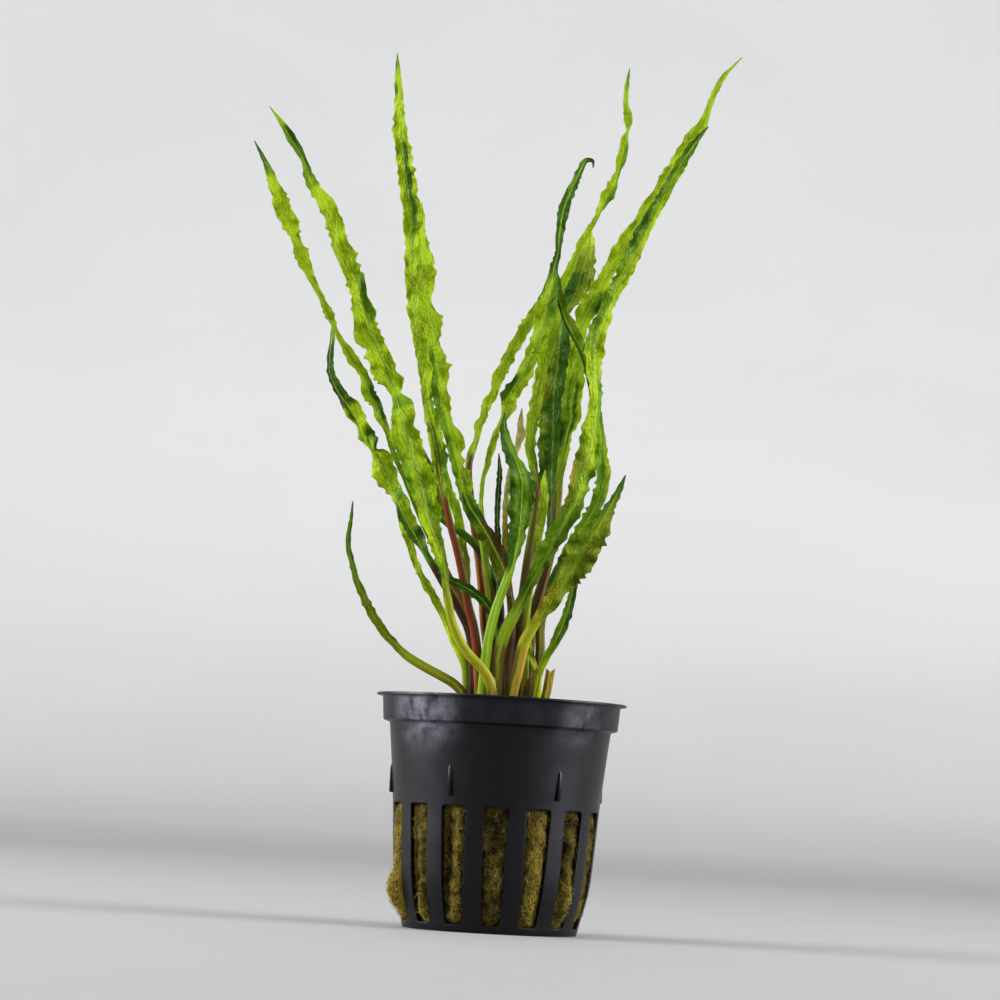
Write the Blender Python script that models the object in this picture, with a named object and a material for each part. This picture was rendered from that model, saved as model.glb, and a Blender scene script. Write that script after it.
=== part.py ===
"""Potted water plant with long crisped leaves: net pot, mineral wool, crown and leaves, in metres.

The origin is the centre of the pot's underside. +Z is up, +X is to the right and -Y is the front.
"""
import math

import bmesh
import bpy
from mathutils import Matrix, Vector

MM = 0.001

# Pot: outer radius by height, in millimetres
RIM_RADIUS = 28.3
RIM_HEIGHT = 52.4
FLANGE_THICKNESS = 0.6
BAND_TOP_RADIUS = 26.9
BAND_FOOT_RADIUS = 26.5
BAND_FOOT_HEIGHT = 46.3
SHOULDER_RADIUS = 25.0
SHOULDER_HEIGHT = 45.9
WALL_AT_37 = 24.1
SLOT_TOP_RADIUS = 23.3
WALL_AT_19 = 22.75
WALL_AT_9 = 21.8
BASE_RADIUS = 19.7
WALL = 0.9
BASE_THICKNESS = 1.0

# Slots and base windows
SLOT_COUNT = 15
COLUMNS_PER_SLOT = 4
SLOT_BOTTOM = 1.7
SLOT_TOP = 27.9
SLOT_CORNER_DROP = 0.6
SLOT_HALF_ANGLE_TOP = 7.2
SLOT_HALF_ANGLE_BOTTOM = 6.05
FIRST_SLOT_ANGLE = 0.5
WINDOW_INNER_RADIUS = 8.0
WINDOW_OUTER_RADIUS = 16.5

# Stacking lugs, on the outer wall above the slots
LUG_ANGLES = (35, -26, -86, 101, 154, 214)
LUG_WIDTH = 1.3
LUG_BOTTOM = 30.0
LUG_TOP = 37.0
LUG_PROUD = 0.6

# Mineral wool: its gap to the wall, and how far it bulges through three of the slots
WOOL_BOTTOM = 1.4
WOOL_TOP = 45.0
WOOL_GAP = 0.5
WOOL_FOOT_ANGLE = 5.2
WOOL_LOBE_ANGLE = 3.8
WOOL_BULGES = {-3: 2.3, 2: 1.2, -2: 0.7}
WOOL_BULGE_HEIGHT = 8.0
WOOL_BULGE_REACH = 6.5
WOOL_LOBE_CREST = 0.55

# Crown
CROWN_CENTRE = (0.5, -1.2)
CROWN_RADII = (10.4, 8.6)
CROWN_BOTTOM = 45.3
CROWN_TOP = 49.5
CROWN_COLUMNS = 20
CROWN_KNOBS = 5
CROWN_KNOB_SIZE = 0.05

# Leaves: their feet stand on the crown, and fan out in depth as they rise
FOOT_HEIGHT = 50.0
FAN_HEIGHT = 46.0
CRISP = 0.12
BLADE_HALF_THICKNESS = 0.32
TIP_HALF_THICKNESS = 0.12
PETIOLE_FLATNESS = 0.85
SHEATH_SWELL = 0.5
SHEATH_HEIGHT = 42.0
EDGE_ON_LIMIT = math.radians(58)
EYE_DISTANCE = 900.0
EYE_HEIGHT = 28.0

BLACK = ("black_plastic", (0.012, 0.012, 0.014), 0.42)
WOOL = ("mineral_wool", (0.30, 0.22, 0.045), 0.95)
CROWN = ("crown_brown", (0.10, 0.045, 0.018), 0.8)
BRIGHT = ("leaf_bright", (0.22, 0.40, 0.02), 0.45)
DEEP = ("leaf_deep", (0.045, 0.16, 0.012), 0.4)
OLIVE = ("leaf_olive", (0.17, 0.19, 0.02), 0.45)
PALE = ("leaf_old", (0.42, 0.38, 0.10), 0.55)
BROWN = ("dead_brown", (0.09, 0.035, 0.015), 0.8)

# Each leaf: name, finish, foot depth, lean of the tip, side that turns forward, petiole half width,
# then its route from tip to foot as (x, z, left, right): the midrib as seen from the front, and
# how far the blade's margins stand to its left and right. A point with no margins is on the petiole.
LEAVES = (
    ("leaf_far_left", BRIGHT, 0.3, 15.0, 1, 0.75, (
        (-63.6, 176.5, .1, .1), (-61.7, 173.2, .5, .5), (-60.3, 170.5, .7, .8),
        (-58.9, 167, 1.2, 1.3), (-57.2, 163.5, 1.7, 2), (-55.9, 160, 1.9, 2.5),
        (-54.3, 156.8, 1.6, 2.2), (-52.9, 154, .9, 1), (-51.6, 151, 1.5, 2.3), (-50, 147.6, 1.3, 1.2),
        (-48.6, 145, .9, .9), (-47, 142.4, .7, .8), (-45.7, 140, .7, .8), (-44.2, 137.4, 1.1, 1.3),
        (-42.9, 134.8, .5, .5), (-41.8, 132.4, .6, .7), (-40, 130, 1, 1.1), (-38.4, 127.6, 1.2, 1.5),
        (-36.6, 125.2, .9, 1.2), (-35, 122.6, 1.1, 1.2), (-34, 120, 1.8, 1.5),
        (-32.4, 117.4, 1.2, 1.3), (-31.2, 114.8, 1.4, 1), (-29.8, 112, .7, .8), (-28, 107, .6, .6),
        (-25.4, 102, .6, .6), (-22.5, 96, .6, .6), (-17.2, 86), (-13.4, 79), (-11.5, 76),
        (-9.9, 73.1), (-8.3, 69), (-7.1, 63), (-6.2, 56.5), (-5.7, 50.1))),
    ("leaf_dark_twist", DEEP, -1.7, 0.0, -1, 0.75, (
        (-43.4, 136.2, .15, .15), (-43.2, 132.5, .6, .6), (-43.4, 128.5, .7, .7),
        (-43.2, 124.6, .9, .9), (-41.9, 121.4, 1, 1), (-39.8, 118.4, 1.3, 1.3),
        (-37.4, 115.4, 1.8, 2.6), (-35.8, 112.8, 1, 1.4), (-34.6, 110.2, 1.5, 2.4),
        (-33.4, 108.4, .9, 1.8), (-32.4, 106.8, .5, .8), (-31, 105, 1.8, 3.3),
        (-29.6, 102.5, 2.9, 2.9), (-28.3, 100, 2.8, 1.9), (-27, 97.4, 1.5, 1.5), (-25.7, 95, 1.1, 2.1),
        (-24.4, 92.4, 1.5, 2.1), (-22.8, 90, 1.6, 1.9), (-21.2, 87.6, 1.5, 1.6), (-19.6, 85, 1, 1),
        (-17.2, 81.6), (-14.6, 77.6), (-12.2, 74.2), (-10.5, 71.4), (-8.7, 68.2), (-7.5, 64),
        (-6.9, 59), (-6.6, 54.5), (-6.4, 50.1))),
    ("leaf_left_long", BRIGHT, -8.4, 0.0, 1, 0.8, (
        (-60.6, 184.6, .1, .1), (-58.7, 182.2, .4, .5), (-57, 179.8, .6, .8), (-55.2, 177.3, .9, 1.2),
        (-53.6, 175, .8, 1.1), (-52, 172.3, .6, .7), (-50.9, 169.5, 1.3, 1), (-49.6, 166.8, 1.4, 1.4),
        (-47.6, 164, 1.5, 1.7), (-45.8, 161.2, 1.6, 2), (-44.4, 158, 1.7, 2.3),
        (-43.2, 154.6, 1.7, 1.9), (-41.8, 151.6, 1.6, 2.8), (-40.3, 148.4, 1.8, 2.6),
        (-38.6, 145, 2.1, 2), (-37.9, 142.4, 1.8, 1.8), (-37.2, 139.8, 2.3, 2.3),
        (-36, 137, 2.7, 2.6), (-34.9, 134.6, 3.3, 2.2), (-33.4, 132, 3.5, 2), (-32, 129.6, 3.5, 1.9),
        (-30.6, 127, 3.9, 1.8), (-29.4, 124.6, 3.9, 1.9), (-28.6, 122.2, 2.6, 2.2),
        (-28, 120.2, 1.4, 1), (-27.6, 118.2, 1.2, 2.4), (-26.8, 115.6, 2.4, 2.6),
        (-25.6, 112.8, 4, 2.6), (-24.6, 110.2, 4.2, 2.8), (-23.6, 107.6, 3.9, 2.7),
        (-22.9, 105, 3.5, 2.2), (-22, 102.5, 3.1, 3.2), (-21.3, 100, 2.8, 3.4), (-20.6, 97.5, 2.4, 3.5),
        (-19.9, 95, 2, 3.1), (-19.2, 92.4, 1.9, 2.8), (-18, 89.6, 2, 2),
        (-16.4, 86.6, 2.4, 1.1), (-15.3, 83.6, 2.1, .8), (-14.6, 80.6, 1.5, .8), (-14.2, 77.5, 1.1, .8),
        (-13.4, 73.7),
        (-12.4, 69.6), (-10.5, 65.4), (-7.9, 61.8), (-5.5, 59.6), (-3.7, 57.4), (-2.6, 54.8), (-2.3, 50.2))),
    ("leaf_left_tall", BRIGHT, -3.6, -2.0, -1, 0.8, (
        (-32.1, 198.5, .1, .1), (-31.8, 195.5, .5, .5), (-31.4, 191.5, .9, .9), (-31, 187.5, 1, 1.1),
        (-30.7, 183.5, 1.4, 1.4), (-30.3, 179.8, 1.6, 1.7), (-29.7, 176.6, 1.5, 2.2),
        (-29, 173, 1.6, 2), (-28.3, 169.4, 1.8, 2.5), (-27.6, 165.8, 1.8, 2.1),
        (-26.9, 162.4, 1.9, 2.6), (-26.7, 158.8, 1.7, 2.4), (-26.3, 155.6, 1.5, 2),
        (-26.1, 152.4, 1.5, 1.4), (-25.9, 149.4, 1.6, 1.2), (-25.6, 146, 1.7, 1.2),
        (-25.2, 142.6, 1.5, 1.2), (-24.8, 139.2, 1.3, 1.4), (-24.1, 135.8, 1.3, 1.8),
        (-23.4, 132.4, 1.2, 2), (-22.8, 129.4, 1.2, 2.1), (-22.1, 126, 1, 2),
        (-21.6, 122.6, .8, 1.9), (-20.9, 119, .9, 1.7), (-20.1, 115.6, 1, 2), (-19.2, 112.6, 1.1, 2.1),
        (-18.3, 109.4, 1.4, 2.2), (-17.6, 106.2, 1.5, 2.3), (-17, 103.2, 1.3, 2.1),
        (-16.2, 100, 1, 1.6),
        (-14.9, 95.2), (-13.8, 90.8), (-12.4, 86.6), (-10.9, 81.4), (-10, 78), (-8.8, 73), (-7.5, 69),
        (-6.4, 64), (-5.8, 59), (-5.3, 55), (-5, 50.1))),
    ("leaf_left_inner", BRIGHT, -2.2, 5.0, 1, 0.8, (
        (-24.6, 164.5, .1, .1), (-24.6, 161.5, .8, 1.1), (-24.5, 158, 1.1, 1.4),
        (-24.2, 154.6, 1.4, 2.2), (-23.9, 151, 1.7, 2.9), (-23.5, 147.6, 1.8, 3.3),
        (-23, 144.6, 1.8, 2.6), (-22.4, 141.8, 1.9, 1.7), (-21.8, 139.4, 1.9, 2.6),
        (-21.2, 137, 2, 3.2), (-20.6, 134.6, 2, 2.4), (-20.2, 132.2, 1.8, 1.8),
        (-19.6, 129.4, 1.6, 2.4), (-18.9, 126.6, 1.7, 3.1), (-18.4, 124.2, 1.8, 2.4),
        (-18, 122, 1.9, 1.8), (-17.4, 119.4, 1.9, 2.3), (-16.8, 116.6, 1.8, 1.7),
        (-15.8, 114, 1.6, 1.5), (-14.9, 111.6, 1.5, 2.4), (-14.4, 109.6, 1.4, 3),
        (-13.8, 107.2, 1.3, 2.1), (-13.1, 104.6, 1.2, 2), (-12.4, 102.2, 1.2, 2.6),
        (-11.8, 100, 1.1, 2.8), (-11.2, 98, 1, 2.2), (-10.2, 96, 1.2, 2.4), (-8.6, 93.8, 1.6, 1.9),
        (-6.6, 91, 1.9, 1.8), (-4.6, 87.8, 2, 2.2), (-2.7, 84.6, 2.2, 2.2), (-1, 81, 1.8, 1.8),
        (.3, 77, 1.1, 1.1), (1.1, 72.5), (1.1, 67), (.8, 61), (.5, 55.5), (.3, 50.1))),
    ("leaf_left_short", DEEP, 2.3, 0.0, 1, 0.85, (
        (-20.9, 108, .1, .1), (-20, 104.5, 1, 1), (-18.9, 101, 1.6, 1.6), (-17.9, 97.4, 1.9, 1.9),
        (-16.8, 94, 1.7, 1.6), (-15, 91.6, 1.2, 1.2), (-12.6, 90.2), (-10, 88.6), (-7.8, 86.6),
        (-5.8, 83.6), (-4.1, 80.2), (-2.6, 77), (-1.6, 72.5), (-1.5, 67), (-1.7, 61), (-1.8, 56),
        (-1.8, 50.1))),
    ("leaf_arching", OLIVE, -3.2, 0.0, 1, 0.75, (
        (-36.3, 95.3, .1, .1), (-36.5, 91.5, .35, .4), (-36.8, 87.5, .6, .5), (-36.6, 84.2, .6, .6),
        (-35.7, 81, .6, .7), (-34.7, 78, .8, .7), (-33.5, 75.2, .8, 1), (-32, 72.6, 1, 1),
        (-30.4, 70, 1.1, 1), (-28.6, 67.4, 1.1, 1), (-26.6, 65, 1, 1), (-24.4, 62.8, .9, .9),
        (-22, 60.9), (-19.4, 59.4), (-16.6, 58), (-13.8, 56.7), (-11.2, 55.3), (-9, 53.2),
        (-7.8, 50.4))),
    ("leaf_left_low", BRIGHT, 1.0, 0.0, -1, 0.7, (
        (-26.6, 96.5, .1, .1), (-25.4, 92.8, .6, .6), (-24.2, 89.6, .9, .7), (-22.9, 86.4, 1, 1),
        (-21.7, 83.4, .8, .8), (-20.3, 80.4, .8, .7), (-18.8, 77.6, .9, 1), (-16.8, 74.8, 1, .9),
        (-14.9, 71.8, .9, .8), (-13.4, 68.6, .8, .7), (-11.9, 65.4), (-10.2, 62.4), (-8.8, 59.6),
        (-8.2, 56), (-8.1, 50.1))),
    ("leaf_left_back", BRIGHT, 2.8, 4.0, 1, 0.7, (
        (-19.1, 117, .1, .1), (-18.8, 114, .7, .7), (-18.1, 111.4, .8, .8), (-17.2, 109, 1, 1),
        (-16.6, 106.6, 1, 1), (-16.1, 104, .9, .9), (-15.4, 101.2, 1, 1), (-14.4, 98.4, 1.1, 1.1),
        (-13.1, 95.2, 1.1, 1.3), (-11.8, 91.6, .9, 1.1), (-10.9, 87.6, 1, 1), (-10.2, 83.6, .9, 1.1),
        (-9.5, 79.6, .9, .9), (-9.1, 75.6), (-8.8, 71.6), (-8, 67.6), (-7.3, 63), (-7, 58),
        (-6.9, 50.1))),
    ("leaf_strap", DEEP, -4.4, 0.0, -1, 0.7, (
        (-16.2, 80.4, .1, .1), (-13.8, 79, .7, .7), (-11.2, 77.9, 1, 1), (-8.6, 76.6, 1.2, 1.1),
        (-6.2, 75, 1.1, 1.2), (-4.2, 73, 1, 1), (-2.6, 70.4, .8, .8), (-1.4, 66.5), (-.8, 61),
        (-.5, 55), (-.4, 50.1))),
    ("leaf_hooked", DEEP, 4.2, 8.0, 1, 0.85, (
        (14.1, 174.5, .1, .1), (13.9, 176.2, .35, .35), (12.5, 176.3, .5, .5), (11.2, 174.2, .8, .8),
        (10.1, 171.2, .9, .9), (8.9, 168, 1.2, 1.1), (7.9, 164.8, 1.3, 1.3), (7.4, 161.4, 1.2, 1.2),
        (7.1, 158, 1, .9), (7, 154.8, .7, .7), (6.4, 151.6, 1, .9), (5.8, 148.4, 1.1, 1.1),
        (4.9, 145, 1.3, 1.3), (3.4, 142, 1.3, 1.2), (2, 139.4, 1.4, 1.5), (.2, 136.6, 1.4, 1.4),
        (-1.2, 133.6, 1.2, 1.3), (-2.4, 130.8, 1.5, 1.3), (-3.9, 127.6, 1.3, 1.4),
        (-5.1, 124.6, 1.4, 1.2), (-5.8, 121.8, .9, 1), (-7, 119, 1.5, .9), (-7.9, 116.2, .8, .9),
        (-8.8, 113.6, 1.2, .8), (-9.1, 111.2, .6, .7), (-9.8, 108.8, .9, .8), (-10.4, 106),
        (-10.4, 102.5), (-9.8, 98.5), (-9.2, 95), (-8.2, 89.5), (-7.1, 84), (-6.3, 79.5), (-5.6, 75),
        (-5, 70), (-4.1, 65), (-3.3, 60), (-2.8, 55), (-2.6, 50.1))),
    ("leaf_centre_jagged", BRIGHT, -0.4, 0.0, -1, 0.8, (
        (6.6, 151, .1, .1), (6.3, 148.2, 1.1, 1), (5.8, 145, 1.9, 1.6), (5, 141.4, 2.8, 2.5),
        (4.4, 138, 2, 2.2), (3.8, 135, 2.1, 1.7), (3.1, 132.4, 2, 1.5), (2, 129.6, 1.7, 1.7),
        (.8, 126.6, 1.6, 2), (-.9, 123.6, 1.8, 2), (-2.4, 121, 1.8, 2.1), (-2.8, 118.4, 1.3, 1.7),
        (-3.4, 116, .8, .9), (-4.5, 113.6, .7, .7), (-5.1, 111, .8, .9), (-5.8, 108.1, .8, .8),
        (-6.4, 105.1, .7, .7), (-7.1, 102.4, .5, .5), (-7.3, 99.4, .5, .5), (-7.3, 96.4, .5, .5),
        (-6.9, 92.4), (-6.2, 87.5), (-5.2, 82), (-4.2, 76.5), (-3.6, 71), (-3.2, 65.5), (-2.7, 60),
        (-2.2, 55), (-1.9, 50.1))),
    ("leaf_front", DEEP, -6.4, 0.0, 1, 0.85, (
        (-2.9, 117.4, .1, .1), (-2.9, 114.4, .8, .8), (-2.5, 111.6, 1.1, 1.2),
        (-1.3, 108.8, 1.3, 1.5), (.3, 106, 1.6, 1.8), (1.4, 103.2, 2.3, 2.7), (1.9, 100.4, 2.9, 3.1),
        (2, 97.2, 2.8, 3), (1.95, 94, 2.5, 2.6), (1.8, 90.6, 2.1, 2), (1.4, 87, 1.6, 1.8),
        (.8, 83.6, 1.1, 1.1), (-.2, 80.2), (-1.3, 76.6), (-2.4, 73), (-3.2, 69.4), (-3.8, 65.6),
        (-4.1, 61.6), (-4.3, 57.5), (-4.4, 53.5), (-4.4, 50.1))),
    ("leaf_old_pale", PALE, -0.2, 0.0, -1, 0.7, (
        (.9, 118.6, .1, .1), (.8, 115.4, .7, .7), (1, 112.8, 1, 1.1), (.6, 110.6, .8, .9),
        (.3, 108.4, .6, .5), (-.3, 106, .6, .6), (-1, 103.6, .7, .7), (-1.4, 100, .7, .7),
        (-1.5, 96, .7, .6), (-1.4, 92, .6, .6), (-1.1, 88, .9, .9), (-.7, 84, .7, .7), (-.1, 79.5),
        (.7, 74.5), (1.3, 69), (1.4, 63), (1.3, 57), (1.2, 50.1))),
    ("leaf_edge_on", DEEP, 1.2, 0.0, 1, 0.6, (
        (-3.8, 108, .1, .1), (-3.4, 104, .6, .6), (-3.4, 100, .7, .7), (-3.5, 96, .6, .7),
        (-3.3, 92, .6, .6), (-2.8, 88, .8, .8), (-2.1, 84.4, .7, .7), (-1.9, 80), (-2, 75),
        (-2.5, 69.5), (-3, 64), (-3.5, 58), (-3.7, 50.1))),
    ("leaf_upright", BRIGHT, 1.2, 11.0, 1, 0.85, (
        (21.2, 198, .1, .1), (20.9, 194.6, .5, .5), (20.8, 191, .55, .55), (21.1, 188, .8, 1),
        (21.5, 186, 1.1, 1.1), (21.5, 183.6, .3, .3), (20.9, 181.2, .9, 1.1), (20.7, 178.6, 1.1, 1.2),
        (20.2, 176.4, 1.2, 1.1), (19.7, 173.6, .5, .6), (18.9, 170.9, 1.1, 1.2),
        (17.6, 168.4, 1.5, 1.6), (16.6, 166.2, .7, .9), (15.4, 163, .5, .5), (13.9, 159.8, 1, .6),
        (12.6, 157.4, .9, .7), (11.4, 154.4, .8, 1), (10.4, 151.4, 1, .8), (9, 148.2, 1, 1),
        (8.2, 144, .9, .9), (7.5, 139.6, 1.3, 1.2), (6.7, 135.4, 1.5, 1.3), (5.8, 131.2, 1.4, 1.2),
        (5.1, 127, 1.6, 1.2), (4.6, 122.6, 1.6, 1.2), (3.9, 118.4, 1.6, 1.3), (3.4, 115, 1.4, 1.4),
        (3.3, 112, 1.1, 1.2), (3.4, 109, 1.3, 1.2), (4.2, 106, 1, 1), (4.9, 103, .9, .9), (5.3, 100),
        (5.1, 95.5), (4.7, 91), (4.2, 86.5), (3.8, 82), (3.5, 77.5), (3.1, 72), (2.9, 66), (2.8, 60),
        (2.8, 55), (2.8, 50.1))),
    ("leaf_centre_broad", OLIVE, 3.6, 5.0, -1, 0.95, (
        (14.3, 160.4, .1, .1), (14.3, 157.4, 1.1, 1.1), (14, 154.2, 1.8, 1.8), (13.1, 151, 2.7, 2.8),
        (12.3, 147.8, 3, 3), (11.3, 144.8, 2.6, 2.8), (10.1, 142.2, 1.7, 1.8), (9.3, 140.2, .9, 1),
        (8.9, 138, 1.4, 1.4), (8.7, 135.4, 2.7, 2.4), (8.6, 132.6, 3.7, 3.1), (8.4, 129.6, 3.9, 3.3),
        (8.2, 126.4, 3.5, 3.3), (8, 122.8, 3.4, 3.2), (8.1, 119, 3.4, 3), (8.3, 115.2, 3.6, 2.9),
        (8.4, 111.4, 3.6, 2.9), (8.5, 107.6, 3.4, 2.4), (8.6, 104, 3, 1.9), (8.8, 100.4, 2.1, 1.7),
        (8.9, 96.8, 1, 1.7), (9, 93.4, .9, 1.2), (9, 90, 1, 1), (8.7, 85.5), (8.1, 81), (7, 76.5),
        (5.6, 71.5), (4.5, 66), (3.9, 60), (3.8, 55), (3.8, 50.1))),
    ("leaf_centre_small", BRIGHT, -1.6, 0.0, 1, 0.65, (
        (6.9, 104.8, .1, .1), (6.7, 101.5, .8, .8), (7, 98, 1, 1.1), (6.8, 94.4, 1.2, 1),
        (6.3, 91, 1, .9), (5.9, 87.4, 1.1, 1), (5.6, 83.8, .9, .9), (5.2, 79.6), (4.7, 74.6),
        (4.5, 69), (4.7, 63), (4.9, 57), (5, 50.1))),
    ("leaf_right_tall", BRIGHT, 1.4, 7.0, -1, 0.9, (
        (46.8, 202, .1, .1), (45, 200, .3, .3), (42.9, 197.4, .6, .6), (41.3, 194.4, .75, .75),
        (40.2, 191.2, .7, .7), (39.5, 188.2, .9, .7), (38, 185.2, 1.4, 1.4), (36.2, 182.4, 1.6, 1.5),
        (34.2, 179.2, 1.4, 1.4), (32.4, 176, 1.2, 1.4), (30.8, 172.8, 1.7, 1.6),
        (29, 169.4, 1.1, 1.6), (27, 166, 1.8, 1.6), (25.4, 162.6, 1.3, 1.6), (23.6, 159.4, 2, 1.6),
        (21.6, 156.2, 2, 1.8), (19.8, 152.6, 1.6, 1.8), (18.2, 149, 1.8, 1.8),
        (16.6, 145.8, 2.1, 2.1), (15, 142.6, 2.7, 2.6), (13.8, 139.2, 1.9, 2),
        (12.9, 135.6, 1.6, 1.8), (12.7, 131.6, 1.5, 1.8), (12.7, 127.6, 2, 2.2), (12.3, 124, 2.3, 2.5),
        (12.1, 120.4, 2.2, 2.3), (12.1, 116.8, 2.1, 2.6), (11.5, 113.2, 1.4, 1.4),
        (11.2, 109.8, 1.2, 1.4), (10.8, 106, 1, 1), (10.4, 102.6, .9, .8), (10.2, 99), (10.1, 95.4),
        (10.4, 91.5), (9.4, 86.5), (8.3, 81), (7.1, 75.5), (6.1, 69.5), (5.6, 63), (5.6, 57),
        (5.7, 50.1))),
    ("leaf_right_long", DEEP, -6.3, 0.0, 1, 1.1, (
        (39.9, 185.6, .1, .1), (38, 183, .5, .5), (36.2, 180.2, 1, 1), (34.5, 177.4, 1.2, 1.3),
        (33, 174.4, 1.2, 1.4), (31.6, 171.2, 1.4, 1.2), (30.2, 168, 1.5, 1.1), (28.8, 164.6, 1.5, 1),
        (27.2, 161, 1.9, 1), (25.8, 157.6, 2.3, 1.2), (24.2, 154, 2.4, 1.4), (22.6, 150.2, 2, 1.5),
        (21, 146.4, 1.8, 1.2), (19.3, 142.8, 1.6, 1.4), (18.5, 140.2, 1.7, 1.9),
        (17.3, 137.4, 2.2, 2.3), (16.7, 134.6, 2.2, 2.3), (16.5, 131.8, 2, 2.4),
        (16.7, 128.8, 1.4, 2.2), (17.1, 125.6, 1.2, 2), (17.6, 122.4, 1.4, 1.7),
        (17.7, 118.8, 1.5, 1.5), (17.3, 115.4, 2.1, 1.9), (17, 112.2, 2.2, 2.4),
        (16.5, 109.2, 2.4, 3), (16, 106.4, 2.7, 3), (15.4, 103.6, 2.4, 2.6), (14.7, 100.6, 1.9, 2.5),
        (13.9, 97.6, 2, 2.5), (12.9, 94.8, 2.3, 2.3), (11.4, 91.8, 2.3, 2.1), (9.9, 88.8, 2.2, 2),
        (8.4, 85.8, 1.8, 1.9), (7, 83, 1.4, 1.7), (5.6, 80.2, 1.2, 1.5), (4.2, 77.2, 1.2, 1.4),
        (2.9, 74.2, 1.2, 1.3), (1.5, 71.2), (-.2, 67.2), (-1.1, 63.6), (-1.4, 59.6), (-1.3, 55),
        (-1.2, 50.1))),
    ("leaf_right_back", DEEP, -0.8, 4.0, -1, 0.8, (
        (6.9, 151, .1, .1), (7.3, 147.4, .6, 1.1), (8.1, 143.6, .7, 1.4), (9.6, 139.6, .7, 1.6),
        (11.5, 136, .7, 1.7), (13.5, 132.8, .7, 1.7), (14.9, 129.6, .7, 1.6), (15.8, 126.2, .7, 1.5),
        (16.9, 122.4, .8, 1.3), (18, 118.6, .8, 1), (19, 115, .8, .9), (19.4, 111.6, 1, 1.1),
        (19.8, 108.6, 1.3, 1.3), (20.3, 105, 1.7, 1.5), (20.1, 101.4, 1.8, 1.4), (19.2, 98, 1.6, 1.4),
        (17.8, 94.8, 1.6, 1.4), (16, 91.6, 1.6, 1.4), (14.2, 88.2, 1.5, 1.5), (12.5, 84.6, 1.4, 1.3),
        (10.9, 81, 1.2, 1.1), (9.4, 77.2, .9, .9), (8.3, 73), (7.8, 68.6), (8, 64.4), (7.9, 60),
        (7.4, 55.5), (7.3, 50.1))),
    ("leaf_right_broad", OLIVE, -6.8, 0.0, 1, 1.0, (
        (25.2, 104.7, .1, .1), (24.3, 102.2, .7, .6), (23.2, 99.8, .8, .9), (22, 97.4, 1.2, 1.1),
        (20.9, 95, 2.1, 1.8), (19.6, 92.5, 2.6, 2.7), (18, 90, 3.3, 3.5), (16.7, 87.5, 3.8, 3.6),
        (15.5, 85, 3.2, 3.7), (14.2, 82.5, 2.7, 3.1), (12.7, 80, 1.8, 2.5), (11.3, 77.6, 2, 1.7),
        (10, 75.4, 1.9, 1.7), (8.6, 73.2, 1.7, 1.5), (7.1, 71, 1.5, 1.4), (5.7, 68.4), (4.4, 65.6),
        (3.6, 62), (3, 58.4), (2.3, 55), (1.8, 50.2))),
    ("leaf_right_low", DEEP, -4.3, 0.0, -1, 0.75, (
        (15.6, 82, .1, .1), (15, 79.4, .6, .6), (14.6, 76.8, 1, .8), (14.1, 74, 1.2, .9),
        (13.3, 71.2, 1.2, 1.2), (12.3, 68.4, 1.2, 1.3), (11.1, 65.6, 1.1, 1), (9.9, 63.2, 1, .9),
        (8.8, 60.8, .9, .8), (7.8, 58), (7.2, 55), (6.9, 50.1))),
    ("leaf_young", BRIGHT, -2.6, 0.0, 1, 0.6, (
        (5.3, 67.6, .1, .1), (5.4, 65.4, .6, .6), (5.9, 63.2, .8, .8), (6.6, 61, .7, .7), (7.3, 58.8),
        (7.9, 56), (8, 50.1))),
)

# Small pieces on the crown: name, finish, depth, foot (x, z), top (x, z), half widths, half thickness
STUB_SIDES = 8
STUBS = (
    ("cut_petiole", PALE, -4.7, (8.9, 50.1), (10.6, 59.4), (0.9, 1.0), 0.7),
    ("young_shoot", BRIGHT, -6.7, (7.4, 50.1), (8.5, 59.0), (0.75, 0.45), 0.6),
    ("dead_sheath", BROWN, -6.6, (5.5, 50.1), (6.1, 57.8), (0.8, 1.1), 0.5),
    ("pale_sheath", PALE, -8.4, (-1.9, 55.6), (-2.6, 61.6), (0.3, 0.15), 0.14),
)


def clear_scene():
    for item in list(bpy.data.objects):
        bpy.data.objects.remove(item, do_unlink=True)


def finish_material(finish):
    name, colour, roughness = finish
    if name in bpy.data.materials:
        return bpy.data.materials[name]
    material = bpy.data.materials.new(name)
    material.use_nodes = True
    shader = material.node_tree.nodes["Principled BSDF"]
    shader.inputs["Base Color"].default_value = (*colour, 1.0)
    shader.inputs["Roughness"].default_value = roughness
    shader.inputs["Metallic"].default_value = 0.0
    return material


def add_object(name, bm, finish, crease=35):
    """Turn a bmesh in millimetres into a named object in metres with its own material."""
    bmesh.ops.scale(bm, vec=Vector((MM, MM, MM)), verts=bm.verts)
    bmesh.ops.recalc_face_normals(bm, faces=bm.faces)
    mesh = bpy.data.meshes.new(name)
    bm.to_mesh(mesh)
    bm.free()
    mesh.materials.append(finish_material(finish))
    mesh.shade_smooth()
    mesh.set_sharp_from_angle(angle=math.radians(crease))
    item = bpy.data.objects.new(name, mesh)
    bpy.context.collection.objects.link(item)
    return item


def loft(bm, rings):
    """Skin a row of rings that have the same number of points, and close both ends.

    Each cell is split from an even point below to an odd point above, so that the two faces of a
    thin twisted blade are split alike and never meet.
    """
    loops = [[bm.verts.new(point) for point in ring] for ring in rings]
    count = len(loops[0])
    for lower, upper in zip(loops, loops[1:]):
        for index in range(count):
            after = (index + 1) % count
            if index % 2 == 0:
                bm.faces.new((lower[index], lower[after], upper[after]))
                bm.faces.new((lower[index], upper[after], upper[index]))
            else:
                bm.faces.new((lower[index], lower[after], upper[index]))
                bm.faces.new((lower[after], upper[after], upper[index]))
    bm.faces.new(loops[0])
    bm.faces.new(loops[-1])


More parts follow.
